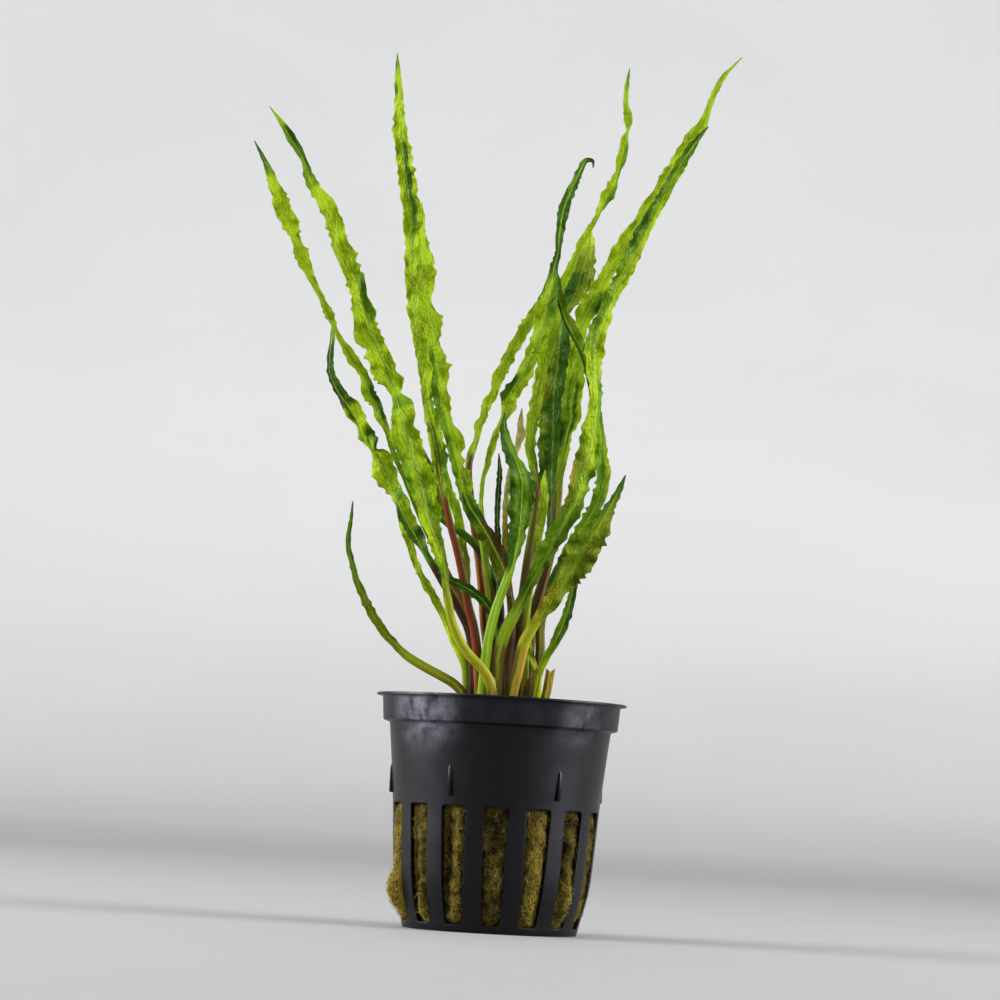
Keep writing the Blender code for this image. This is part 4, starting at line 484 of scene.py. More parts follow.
def add(tree, kind, inputs=None, **settings):
    """Add a node with its settings and inputs, and return what it puts out."""
    node = tree.nodes.new(kind)
    for name, value in settings.items():
        setattr(node, name, value)
    feed(node, inputs or {})
    return node.outputs


def flow(tree, kind, inputs=None, output=0, **settings):
    """Add a node, and return one of its outputs as a value to work with."""
    return Flow(add(tree, kind, inputs, **settings)[output])


def maths(tree, operation, *values):
    return flow(tree, "ShaderNodeMath", dict(enumerate(values)), operation=operation)


def vectors(tree, operation, *values, output=0):
    return flow(tree, "ShaderNodeVectorMath", dict(enumerate(values)), output, operation=operation)


def combine(tree, x, y, z):
    return flow(tree, "ShaderNodeCombineXYZ", {0: x, 1: y, 2: z})


def split(vector):
    return [Flow(socket) for socket in add(vector.tree, "ShaderNodeSeparateXYZ", {0: vector})]


def ramp_up(value, low, high):
    """0 below low, 1 above high and a soft rise between; with low above high it falls."""
    return flow(value.tree, "ShaderNodeMapRange", {0: value, 1: low, 2: high},
                interpolation_type="SMOOTHSTEP")


def clouds(place, scale, detail=3.0, roughness=0.5, distortion=0.0):
    return flow(place.tree, "ShaderNodeTexNoise", {
        "Vector": place, "Scale": scale, "Detail": detail, "Roughness": roughness, "Distortion": distortion})


def blend(tree, share, first, second, kind="MIX"):
    """Mix two colours, where each is a value of the tree or three numbers."""
    first, second = (colour if isinstance(colour, Flow) else (*colour, 1.0) for colour in (first, second))
    return flow(tree, "ShaderNodeMix", {0: share, 6: first, 7: second}, 2, data_type="RGBA", blend_type=kind)


def label_of(key):
    return key.replace("_", " ").title()


def key_of(socket):
    return socket.name.lower().replace(" ", "_")


def flows_of(sockets):
    """The values of a group's sockets by their keys, leaving out the empty one at the end."""
    return SimpleNamespace(**{key_of(socket): Flow(socket) for socket in sockets if socket.name})


def new_sockets(tree, side, rows):
    """Give a node group sockets from rows of name, kind and default."""
    for key, kind, default in rows:
        socket = tree.interface.new_socket(label_of(key), in_out=side, socket_type=kind)
        if default is not None:
            socket.default_value = default


def rows_of(sizes):
    return [(key, SOCKET_KINDS[type(default)], default) for key, default in sizes.items()]


def start_shader_group(name, **sizes):
    """Start a shader group that reads a place and its own sizes, and return what it is given."""
    tree = bpy.data.node_groups.new(name, "ShaderNodeTree")
    new_sockets(tree, "INPUT", [("place", "NodeSocketVector", None), *rows_of(sizes)])
    return tree, flows_of(tree.nodes.new("NodeGroupInput").outputs)


def finish_shader_group(tree, **values):
    """End a shader group with the masks and heights that it puts out."""
    new_sockets(tree, "OUTPUT", [(key, "NodeSocketFloat", None) for key in values])
    feed(tree.nodes.new("NodeGroupOutput"), {label_of(key): value for key, value in values.items()})


def start_geometry(name, **sizes):
    """Start a geometry tree that reads a mesh, its own sizes and a material."""
    tree = bpy.data.node_groups.new(name, "GeometryNodeTree")
    shape = ("geometry", "NodeSocketGeometry", None)
    new_sockets(tree, "INPUT", [shape, *rows_of(sizes), ("material", "NodeSocketMaterial", None)])
    new_sockets(tree, "OUTPUT", [shape])
    return tree, flows_of(tree.nodes.new("NodeGroupInput").outputs)


def finish_geometry(tree, given, geometry):
    """End a geometry tree in real meshes that carry the given material."""
    real = flow(tree, "GeometryNodeRealizeInstances", {0: geometry})
    dressed = flow(tree, "GeometryNodeSetMaterial", {"Geometry": real, "Material": given.material})
    feed(tree.nodes.new("NodeGroupOutput"), {0: dressed})
    return tree


def named(tree, name, kind="FLOAT"):
    return flow(tree, "GeometryNodeInputNamedAttribute", {"Name": name}, data_type=kind)


def grow(item, tree, **values):
    """Put a geometry tree on an object, with its inputs set by the sockets' identifiers."""
    modifier = item.modifiers.new(tree.name, "NODES")
    modifier.node_group = tree
    for socket in tree.interface.items_tree:
        if socket.in_out == "INPUT" and key_of(socket) in values:
            modifier[socket.identifier] = values[key_of(socket)]


def settle(item):
    """Replace an object's live modifiers with the mesh that they make."""
    graph = bpy.context.evaluated_depsgraph_get()
    mesh = bpy.data.meshes.new_from_object(item.evaluated_get(graph), preserve_all_data_layers=True,
                                           depsgraph=graph)
    item.modifiers.clear()
    used = item.data
    item.data = mesh
    bpy.data.meshes.remove(used)
    mesh.name = item.name


def place_piece(item, node):
    """Bring a finished piece to metres and give it to the frame in the place of its node."""
    item.data.transform(Matrix.Scale(MM, 4))
    item.data.update()
    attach(item, BODY)
    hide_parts(node)


# ---------------------------------------------------------------- mesh helpers


def new_item(name, mesh, material=None):
    item = bpy.data.objects.new(name, mesh)
    bpy.context.collection.objects.link(item)
    if material is not None:
        mesh.materials.append(material)
    return item


def mesh_from(name, points, faces):
    mesh = bpy.data.meshes.new(name)
    mesh.from_pydata([tuple(point) for point in points], [], [tuple(face) for face in faces])
    mesh.update()
    return mesh


def ring_faces(rings, width, start=0):
    """Four-sided faces between rings of points, where each ring closes on itself."""
    ring = np.arange(start, start + rings * width).reshape(rings, width)
    after = np.roll(ring, -1, axis=1)
    return np.stack((ring[:-1], after[:-1], after[1:], ring[1:]), axis=-1).reshape(-1, 4).tolist()


def round_turns(columns):
    """Angles of the points of a ring, once round."""
    return [math.tau * column / columns for column in range(columns)]


def smooth_edges(mesh, crease):
    mesh.shade_smooth()
    mesh.set_sharp_from_angle(angle=math.radians(crease))


def point_outwards(mesh, weld=0.0):
    """Merge a closed mesh's doubles and turn its faces outwards."""
    bm = bmesh.new()
    bm.from_mesh(mesh)
    bmesh.ops.remove_doubles(bm, verts=bm.verts, dist=weld)
    bmesh.ops.recalc_face_normals(bm, faces=bm.faces)
    bm.to_mesh(mesh)
    bm.free()


def paint(mesh, name, colours):
    """Give each point of a mesh its colour."""
    layer = mesh.color_attributes.new(name, "FLOAT_COLOR", "POINT")
    full = np.column_stack((colours, np.ones(len(colours)))).astype(np.float32)
    layer.data.foreach_set("color", full.ravel())


def note(mesh, name, values, kind="FLOAT"):
    """Give each point of a mesh a value or a direction."""
    layer = mesh.attributes.new(name, kind, "POINT")
    field = "vector" if kind == "FLOAT_VECTOR" else "value"
    layer.data.foreach_set(field, np.ascontiguousarray(values, dtype=np.float32).ravel())


# ---------------------------------------------------------------- shader groups


def object_mm(tree):
    """Object coordinates in millimetres."""
    place = flow(tree, "ShaderNodeTexCoord", output="Object")
    return flow(tree, "ShaderNodeMapping", {"Vector": place, "Scale": (1 / MM, 1 / MM, 1 / MM)})


def attribute(tree, name, output):
    return flow(tree, "ShaderNodeAttribute", output=output, attribute_name=name)


def group_in(tree, name, **inputs):
    """Place a shader group in a material with its own values, and return what it puts out."""
    node = tree.nodes.new("ShaderNodeGroup")
    node.node_tree = bpy.data.node_groups[name]
    feed(node, {label_of(key): value for key, value in inputs.items()})
    return flows_of(node.outputs)


def build_mottle_group():
    """Soft patches, finer clouds and sparse specks, for every natural and worn surface."""
    tree, given = start_shader_group("Mottle", patch_size=6.0, grain_size=0.8, speck_size=1.2)
    patches = clouds(given.place, 1.0 / given.patch_size, 3.0, 0.55, 0.4)
    grain = clouds(given.place, 1.0 / given.grain_size, 3.0, 0.6)
    cells = add(tree, "ShaderNodeTexVoronoi", {"Vector": given.place, "Scale": 1.0 / given.speck_size})
    chance = flow(tree, "ShaderNodeSeparateColor", {0: Flow(cells["Color"])})
    specks = ramp_up(chance, 0.80, 0.95) * ramp_up(Flow(cells["Distance"]), 0.30, 0.12)
    finish_shader_group(tree, patches=ramp_up(patches, 0.32, 0.68), grain=ramp_up(grain, 0.30, 0.70),
                        specks=specks)


def build_vein_group():
    """Midrib, long veins, cross veins and crease lines of a leaf, from its own place across and along."""
    tree, given = start_shader_group("Leaf veins", midrib_width=0.12, vein_width=0.035, crease_width=0.02)
    across, width, along = split(given.place)

    def sheet(wide, long, level=0.0):
        return combine(tree, width * wide, along * long, level)

    reach = abs(across + clouds(given.place, 0.35, 2.0).scaled(0.10, -0.05))
    midrib = ramp_up(reach, given.midrib_width, given.midrib_width * 0.3)
    lines = 0.0
    for share in (0.30, 0.52, 0.76):
        lines = maths(tree, "MAXIMUM", ramp_up(abs(reach - share), given.vein_width, 0.0), lines)
    flat = sheet(1.1, 0.55)
    warp = flow(tree, "ShaderNodeTexNoise", {"Vector": flat, "Scale": 0.8, "Detail": 1.0}, 1)
    net = flow(tree, "ShaderNodeTexVoronoi", {"Vector": vectors(tree, "ADD", flat, warp), "Scale": 1.0},
               "Distance", feature="DISTANCE_TO_EDGE", voronoi_dimensions="2D")
    veins = maths(tree, "MAXIMUM", lines * 0.8, ramp_up(net, 0.09, 0.0) * 0.55)
    streaks = ramp_up(clouds(sheet(2.4, 0.10, 7.0), 1.0, 3.0, 0.6), 0.36, 0.64)
    # Crease lines, for the relief and for the painted shade that the leaf colour gets in them
    creases = 0.0
    for wide, long, level in ((0.50, 0.13, 3.0), (0.34, 0.42, 11.0)):
        line = ramp_up(abs(clouds(sheet(wide, long, level), 1.0, 2.0) - 0.5), given.crease_width, 0.0)
        some = ramp_up(clouds(sheet(0.3, 0.16, level + 5.0), 1.0, 1.0), 0.45, 0.60)
        creases = maths(tree, "MAXIMUM", line * some, creases)
    height = creases.scaled(-1.5, midrib * 0.5 + (ramp_up(net, 0.0, 0.45) - lines * 0.5))
    finish_shader_group(tree, midrib=midrib, veins=veins, streaks=streaks, creases=creases, height=height)


def build_fibre_group():
    """Tangled threads in three crossing directions, as colour share and height."""
    tree, given = start_shader_group("Tangled threads", thread_width=0.25, stretch=6.0)
    warp = flow(tree, "ShaderNodeTexNoise", {"Vector": given.place, "Scale": 0.35, "Detail": 2.0}, 1)
    bent = vectors(tree, "ADD", given.place, warp)
    squeeze = combine(tree, 1.0 / given.stretch, 1.0, 1.0)
    fine = 1.0 / given.thread_width
    total = 0.0
    for turn in ((0.3, 0.2, 0.5), (1.1, -0.5, 1.4), (-0.7, 0.9, 2.3)):
        turned = flow(tree, "ShaderNodeVectorRotate", {"Vector": bent, "Rotation": turn},
                      rotation_type="EULER_XYZ")
        strand = clouds(vectors(tree, "MULTIPLY", turned, squeeze), fine, 2.0, 0.6)
        total = maths(tree, "MAXIMUM", total, strand)
    finish_shader_group(tree, threads=ramp_up(total, 0.50, 0.72), height=total)


# ---------------------------------------------------------------- materials


def new_material(name):
    """A material with its tree and its Principled shader."""
    material = bpy.data.materials.new(name)
    material.use_nodes = True
    return material, material.node_tree, material.node_tree.nodes["Principled BSDF"]


def relief(tree, shader, height, distance, strength):
    """Raise fine relief on a surface, by a distance in millimetres."""
    normal = flow(tree, "ShaderNodeBump", {"Height": height, "Distance": distance * MM, "Strength": strength})
    feed(shader, {"Normal": normal})
    return normal


def leaf_material(name, roughness, midrib_light, vein_dark, translucency):
    """Leaf skin: its own tones, veins, crease lines darkened as painted shade, mottling and the light that
    comes through.
    """
    material, tree, shader = new_material(name)
    blade = 1.0 - attribute(tree, "stalk", "Fac")
    veins = group_in(tree, "Leaf veins", place=attribute(tree, "place", "Vector"), midrib_width=0.11,
                     vein_width=0.035, crease_width=0.022)
    mottle = group_in(tree, "Mottle", place=object_mm(tree), patch_size=3.6, grain_size=0.5, speck_size=1.3)
    colour = blend(tree, veins.midrib * blade * midrib_light, attribute(tree, "tone", "Color"), MIDRIB_GREEN)
    # The last pair darkens the crease lines as painted shade
    for share, tint, amount in ((veins.veins * blade, (0.60, 0.72, 0.55), vein_dark),
                                (veins.streaks, (0.74, 0.82, 0.72), 0.7),
                                (mottle.patches, (1.22, 1.14, 1.10), 0.5),
                                (mottle.grain, (0.78, 0.84, 0.80), 0.3),
                                (veins.creases * blade, (0.30, 0.45, 0.35), 0.4)):
        tinted = blend(tree, 1.0, colour, tint, "MULTIPLY")
        colour = blend(tree, share * amount, colour, tinted)
    colour = blend(tree, mottle.specks * 0.15, colour, LEAF_SPECKS)
    feed(shader, {"Base Color": colour, "Roughness": mottle.grain.scaled(0.14, roughness - 0.07),
                  "Specular IOR Level": 0.11})
    height = veins.height.scaled(blade, mottle.grain * 0.25)
    normal = relief(tree, shader, height, 0.16, 0.8)
    through = flow(tree, "ShaderNodeBsdfTranslucent", {"Color": colour, "Normal": normal})
    skin = flow(tree, "ShaderNodeMixShader",
                {0: blade * translucency, 1: Flow(shader.outputs[0]), 2: through})
    feed(tree.nodes["Material Output"], {"Surface": skin})
    return material


def plastic_material(settings):
    """Moulded black satin plastic with pale patches on the rim band: dried chalky deposit, partly painted
    sheen.
    """
    material, tree, shader = new_material("Black moulded plastic")
    place = object_mm(tree)
    mottle = group_in(tree, "Mottle", place=place, patch_size=7.0, grain_size=0.35, speck_size=2.6)
    level = split(place)[2]
    band = ramp_up(level, 45.5, 47.5) * ramp_up(level, 52.2, 50.5)
    chalk = ramp_up(clouds(place, 1.1, 4.0, 0.65), 0.25, 0.75)
    cloud = ramp_up(clouds(place, 0.24, 4.0, 0.5, 0.5), 0.22, 0.66)
    near = band * 0.05
    for spot, size, strength in SHEEN_AND_RESIDUE_SPOTS:
        distance = vectors(tree, "DISTANCE", place, spot, output="Value")
        near = maths(tree, "MAXIMUM", near, ramp_up(distance, size, size * 0.1) * strength)
    # Pale patches, partly dried deposit and partly painted sheen where the side lamps reflect
    sheen_and_residue = near * chalk.scaled(0.4, 0.6) * cloud
    rough = sheen_and_residue.scaled(0.16, mottle.patches.scaled(0.07, settings.roughness))
    feed(shader, {"Base Color": blend(tree, sheen_and_residue, settings.plastic_colour, SHEEN_AND_RESIDUE_GREY),
                  "Roughness": rough, "Specular IOR Level": 0.22, "Specular Tint": (0.92, 0.88, 1.0, 1.0)})
    relief(tree, shader, sheen_and_residue.scaled(0.5, mottle.grain), 0.03, 0.35)
    return material


def wool_material(name, settings, loose):
    """Mineral wool: mustard threads with painted light, over hollows painted dark as shade, or the loose
    threads on it.
    """
    material, tree, shader = new_material(name)
    place = object_mm(tree)
    mottle = group_in(tree, "Mottle", place=place, patch_size=2.6, grain_size=0.5, speck_size=1.6)
    # Painted light and shade: the share of the thread colour over the hollow colour, with patches of painted
    # shade
    shading_patches = mottle.patches.scaled(0.5, -0.25) * 0.9
    share = maths(tree, "MAXIMUM", attribute(tree, "dry", "Fac") + shading_patches, 0.0)
    if loose:
        colour = blend(tree, share, settings.shade_colour, settings.light_colour)
        # Painted highlight: pale threads only where the wool is painted as in the light
        colour = blend(tree, mottle.grain * 0.55 * share, colour, THREAD_HIGHLIGHT)
    else:
        threads = group_in(tree, "Tangled threads", place=place, thread_width=0.30, stretch=7.0)
        share = share * threads.threads.scaled(0.8, 0.15)
        colour = blend(tree, share, settings.shade_colour, settings.light_colour)
        relief(tree, shader, threads.height, 0.5, 1.0)
    feed(shader, {"Base Color": colour, "Roughness": 0.85, "Specular IOR Level": 0.10})
    return material


def crown_material(settings):
    """Brown skin of the crown: fibrous, patchy and matt."""
    material, tree, shader = new_material("Crown fibre")
    place = object_mm(tree)
    drawn = flow(tree, "ShaderNodeMapping", {"Vector": place, "Scale": (1.0, 1.0, 0.3)})
    threads = group_in(tree, "Tangled threads", place=drawn, thread_width=0.35, stretch=3.0)
    mottle = group_in(tree, "Mottle", place=place, patch_size=3.0, grain_size=0.4, speck_size=1.2)
    share = mottle.patches.scaled(0.5, threads.threads * 0.5)
    colour = blend(tree, share, settings.crown_dark, settings.crown_light)
    colour = blend(tree, mottle.specks * 0.5, colour, CROWN_SPECKS)
    feed(shader, {"Base Color": colour, "Roughness": mottle.grain.scaled(0.2, 0.62)})
    relief(tree, shader, threads.height, 0.6, 0.9)
    return material


def stage_material(settings):
    """Pale studio paper with a faint grain, darker round the pot than far from it."""
    material, tree, shader = new_material("Pale studio paper")
    place = object_mm(tree)
    mottle = group_in(tree, "Mottle", place=place, patch_size=300.0, grain_size=2.0, speck_size=5.0)
    flat = vectors(tree, "MULTIPLY", place, (1.0, 1.0, 0.0))
    distance = vectors(tree, "LENGTH", flat, output="Value")
    base = blend(tree, ramp_up(distance, *PAPER_SHADE_REACH), settings.floor_colour, settings.wall_colour)
    soft = blend(tree, 1.0, base, (0.97, 0.97, 0.975), "MULTIPLY")
    feed(shader, {"Base Color": blend(tree, mottle.patches, base, soft),
                  "Roughness": mottle.grain.scaled(0.06, 0.80), "Specular IOR Level": 0.2})
    return material


# ---------------------------------------------------------------- curves through knots


def smooth_between(values, knots, at):
    """Rows of values given at knots, read off a smooth curve at other places."""
    values = np.asarray(values, float)
    knots = np.asarray(knots, float)
    steps = np.diff(knots)
    slopes = np.diff(values, axis=0) / steps[:, None]
    tangents = np.empty_like(values)
    tangents[0], tangents[-1] = slopes[0], slopes[-1]
    before, after = steps[:-1, None], steps[1:, None]
    tangents[1:-1] = (slopes[:-1] * after + slopes[1:] * before) / (before + after)
    cell = np.clip(np.searchsorted(knots, at, side="right") - 1, 0, len(steps) - 1)
    span = steps[cell][:, None]
    share = (np.asarray(at) - knots[cell])[:, None] / span
    square, cube = share ** 2, share ** 3
    return ((2 * cube - 3 * square + 1) * values[cell] + (cube - 2 * square + share) * span * tangents[cell]
            + (3 * square - 2 * cube) * values[cell + 1] + (cube - square) * span * tangents[cell + 1])


def ease(value, low, high):
    """0 up to low, 1 from high and a soft rise between."""
    share = np.clip((value - low) / (high - low), 0.0, 1.0)
    return share * share * (3.0 - 2.0 * share)


def slow_wave(at, seed, pitch):
    """A smooth wandering value between about -1 and 1 along a length."""
    turns = np.random.default_rng(seed).uniform(0.0, math.tau, 3)
    at = np.asarray(at) * math.tau / pitch
    return (np.sin(at + turns[0]) + 0.6 * np.sin(at * 2.17 + turns[1])
            + 0.35 * np.sin(at * 4.3 + turns[2])) / 1.6


def wall_radius(height):
    """Outer radius of the pot's wall below its shoulder, as a smooth bulging line."""
    radii, heights = zip(*WALL_PROFILE)
    at = np.atleast_1d(np.asarray(height, float))
    found = smooth_between(np.array(radii)[:, None], heights, at)[:, 0]
    return found if np.ndim(height) else float(found[0])


def slot_half_angle(height):
    share = (height - SLOT_BOTTOM) / (SLOT_TOP - SLOT_BOTTOM)
    return SLOT_HALF_ANGLE_BOTTOM + (SLOT_HALF_ANGLE_TOP - SLOT_HALF_ANGLE_BOTTOM) * share


def slot_offset(angle):
    """How far an angle lies from the middle of the nearest slot."""
    return (angle - FIRST_SLOT_ANGLE + PITCH / 2) % PITCH - PITCH / 2


def polar(radius, angle, height):
    """A point by its angle from the front, positive towards the right."""
    turn = math.radians(angle)
    return (radius * math.sin(turn), -radius * math.cos(turn), height)


# ---------------------------------------------------------------- pot


def rounded(points):
    """Replace each inner corner of an outline by three points of a small curve."""
    line = [points[0]]
    for last, corner, after in zip(points, points[1:], points[2:]):
        last, corner, after = Vector(last), Vector(corner), Vector(after)
        back, ahead = ((end - corner).normalized() * min(CORNER_REACH, (end - corner).length * 0.45)
                       for end in (last, after))
        if abs(back.normalized().dot(ahead.normalized())) > NEARLY_STRAIGHT:
            line.append(tuple(corner))
            continue
        middle = corner + (back + ahead) * 0.29
        line += [tuple(corner + back), tuple(middle), tuple(corner + ahead)]
    return line + [points[-1]]


def slot_rows():
    """Heights of the slot's rows, closer together at its rounded corners."""
    corner = [SLOT_CORNER * share for share in (0.0, 0.08, 0.25, 0.55, 1.0)]
    middle = list(np.linspace(SLOT_BOTTOM + SLOT_CORNER, SLOT_TOP - SLOT_CORNER, 12)[1:-1])
    return [SLOT_BOTTOM + drop for drop in corner] + middle + [SLOT_TOP - drop for drop in reversed(corner)]


def pot_outline():
    """The pot's closed outline as (radius, height, opening), where an opening runs to the next row."""
    rows = slot_rows()
    above = [SLOT_TOP + 0.3, SLOT_TOP + 0.8, *np.linspace(SLOT_TOP, SHOULDER_HEIGHT, 9)[1:-1]]
    foot = [(WINDOW_INNER_RADIUS, 0.0, "under"), (WINDOW_OUTER_RADIUS, 0.0, ""),
            (BASE_RADIUS - 0.35, 0.0, ""), (BASE_RADIUS - 0.1, 0.1, ""), (BASE_RADIUS, 0.35, ""),
            (wall_radius(1.3), 1.3, "")]
    outer = [(wall_radius(height), height, "slot" if height < SLOT_TOP else "") for height in rows]
    outer += [(wall_radius(height), height, "") for height in above]
    below_rim = (BAND_TOP_RADIUS - WALL, RIM_HEIGHT - 2)
    collar = rounded([(wall_radius(44.0), 44.0), (SHOULDER_RADIUS, SHOULDER_HEIGHT), *COLLAR_PROFILE,
                      COLLAR_INSIDE[0], below_rim])[1:-1]
    inside = rounded([below_rim, *COLLAR_INSIDE[1:], (wall_radius(43.0) - WALL, 43.0)])[1:-1]
    inner = [(wall_radius(height) - WALL, height, "") for height in reversed(above[:-1])]
    inner += [(wall_radius(height) - WALL, height, "inside" if height > SLOT_BOTTOM else "")
              for height in reversed(rows)]
    floor = [(BASE_RADIUS - WALL, BASE_THICKNESS, ""), (WINDOW_OUTER_RADIUS, BASE_THICKNESS, "floor"),
             (WINDOW_INNER_RADIUS, BASE_THICKNESS, "")]
    return ([(BASE_CENTRE_RADIUS, 0.0, "")] + foot + outer + [(*point, "") for point in collar + inside]
            + inner + floor + [(BASE_CENTRE_RADIUS, BASE_THICKNESS, "")])


def edge_angle(radius, height):
    """Half the angle of the opening at a row, with the slot's rounded corners."""
    if radius < BASE_RADIUS - WALL - 0.01 or height < BASE_THICKNESS:
        return WINDOW_HALF_ANGLE
    inside = min(max(height, SLOT_BOTTOM), SLOT_TOP)
    into = min(inside - SLOT_BOTTOM, SLOT_TOP - inside)
    cut = SLOT_CORNER - math.sqrt(max(SLOT_CORNER ** 2 - max(SLOT_CORNER - into, 0.0) ** 2, 0.0))
    return slot_half_angle(inside) - math.degrees(cut / radius)


def sector_mesh():
    """One fifteenth of the pot, with half a bar on each side of one slot and one base window."""
    outline = pot_outline()
    bar_columns, opening_columns = 4, 6
    opening = range(bar_columns, bar_columns + opening_columns)
    points, grid = [], []
    for radius, height, _ in outline:
        edge = edge_angle(radius, height)
        bar = np.linspace(-PITCH / 2, -edge, bar_columns + 1)
        angles = [*bar, *np.linspace(-edge, edge, opening_columns + 1)[1:-1], *-bar[::-1]]
        grid.append(range(len(points), len(points) + len(angles)))
        points += [polar(radius, FIRST_SLOT_ANGLE + angle, height) for angle in angles]
    columns = range(len(grid[0]) - 1)

    def strip(low, high, among):
        return [(grid[low][column], grid[low][column + 1], grid[high][column + 1], grid[high][column])
                for column in among]

    faces, rims = [], {}
    for row, (_, _, kind) in enumerate(outline[:-1]):
        faces += strip(row, row + 1, [column for column in columns if not (kind and column in opening)])
        if kind:
            rims.setdefault(kind, []).append(row)
    for front, back in (("slot", "inside"), ("under", "floor")):
        ahead = rims[front] + [rims[front][-1] + 1]
        behind = (rims[back] + [rims[back][-1] + 1])[::-1]
        for a, b, c, d in zip(ahead, ahead[1:], behind, behind[1:]):
            for column in (opening.start, opening.stop):
                faces.append((grid[a][column], grid[b][column], grid[d][column], grid[c][column]))
        faces += strip(ahead[0], behind[0], opening) + strip(ahead[-1], behind[-1], opening)
    for row, height in ((0, 0.0), (len(outline) - 1, BASE_THICKNESS)):
        faces += [(grid[row][column], grid[row][column + 1], len(points)) for column in columns]
        points.append((0.0, 0.0, height))
    return mesh_from("pot_sector", points, faces)


def slotted_wall_tree():
    """Turn one sector round the axis as often as the pot has slots, and weld the ring."""
    tree, given = start_geometry("Slotted wall", slot_count=SLOT_COUNT, weld=WELD)
    places = flow(tree, "GeometryNodeMeshLine", {"Count": given.slot_count, "Offset": (0.0, 0.0, 0.0)})
    number = flow(tree, "GeometryNodeInputIndex")
    turn = combine(tree, 0.0, 0.0, number * (math.tau / given.slot_count))
    spin = flow(tree, "FunctionNodeEulerToRotation", {0: turn})
    ring = flow(tree, "GeometryNodeInstanceOnPoints",
                {"Points": places, "Instance": given.geometry, "Rotation": spin})
    real = flow(tree, "GeometryNodeRealizeInstances", {0: ring})
    welded = flow(tree, "GeometryNodeMergeByDistance", {"Geometry": real, "Distance": given.weld})
    return finish_geometry(tree, given, welded)


def lug_points(angle):
    """A fin whose face stands upright, so that it sinks into the sloping wall at its top."""
    half = math.degrees(LUG_WIDTH / 2 / LUG_RADIUS)
    points = []
    for height, set_back in ((LUG_BOTTOM, 0.2), (LUG_BOTTOM + 0.25, 0.0), (LUG_TOP - 1.2, 0.0),
                             (LUG_TOP, 0.35)):
        buried = wall_radius(height) - LUG_BURIED
        for side, drop in ((-1.25, None), (-1.0, 0.12), (-0.6, 0.0), (0.6, 0.0), (1.0, 0.12), (1.25, None)):
            radius = buried if drop is None else max(LUG_RADIUS - set_back - drop, wall_radius(height) - 0.3)
            points.append(polar(radius, angle + side * half, height))
    return points


def lug_mesh():
    """All stacking lugs, each as four rings of six points with a cap at both ends."""
    points, faces = [], []
    rings, width = 4, 6
    for angle in LUG_ANGLES:
        start = len(points)
        points += lug_points(angle)
        faces += ring_faces(rings, width, start)
        faces.append(range(start, start + width))
        faces.append(range(len(points) - width, len(points)))
    return mesh_from("pot_lugs", points, faces)


def make_pot(settings):
    material = plastic_material(settings)
    pot = new_item("slotted_net_pot", sector_mesh())
    grow(pot, slotted_wall_tree(), slot_count=SLOT_COUNT, weld=WELD, material=material)
    settle(pot)
    point_outwards(pot.data, WELD)
    lugs = lug_mesh()
    bm = bmesh.new()
    bm.from_mesh(pot.data)
    bm.from_mesh(lugs)
    bm.to_mesh(pot.data)
    bm.free()
    bpy.data.meshes.remove(lugs)
    point_outwards(pot.data)
    pot.data.materials.clear()
    pot.data.materials.append(material)
    edge = pot.modifiers.new("Moulded edges", "BEVEL")
    edge.limit_method = "ANGLE"
    edge.angle_limit = math.radians(50)
    edge.width = settings.edge_rounding
    edge.segments = 2
    edge.harden_normals = False
    settle(pot)
    smooth_edges(pot.data, 50)
    place_piece(pot, "net_pot")


# ---------------------------------------------------------------- mineral wool


def spots_over(angle, height, rows):
    """Sum of soft spots given as (angle, height, reach in angle, reach in height, amount)."""
    total = np.zeros(np.shape(angle))
    for middle, level, wide, tall, amount in rows:
        apart = (angle - middle + 180.0) % 360.0 - 180.0
        total += amount * np.exp(-(apart / wide) ** 2 - ((height - level) / tall) ** 2)
    return total


def wool_radii(angles, heights):
    """Radius of the wool for each height and angle, held by the bars and loose in the slots."""
    rng = np.random.default_rng(11)
    angle, height = np.meshgrid(angles, heights)
    edge = slot_half_angle(np.clip(height, SLOT_BOTTOM, SLOT_TOP))
    loose = ease(edge - np.abs(slot_offset(angle)), 0.2, 1.8)
    loose *= ease(height, SLOT_BOTTOM - 0.2, SLOT_BOTTOM + 1.6) * ease(SLOT_TOP + 0.2 - height, 0.0, 2.2)
    radius = wall_radius(height.ravel()).reshape(height.shape) - WALL - WOOL_GAP
    rows = list(WOOL_SWELLINGS)
    for slot in SLOTS_BEHIND:
        middle = FIRST_SLOT_ANGLE + slot * PITCH
        for _ in range(3):
            rows.append((middle + rng.uniform(-4, 4), rng.uniform(4, 24), rng.uniform(1.4, 4),
                         rng.uniform(3, 10), rng.uniform(-1.4, 1.1)))
    return radius + loose * (WOOL_BULGE + spots_over(angle, height, rows)), loose


def wool_roughness(points, size, seed):
    shift = Vector((seed * 3.1, seed * 1.7, -seed * 2.3))
    return np.array([noise.fractal(Vector(point) / size + shift, 0.6, 2.1, 4) for point in points])


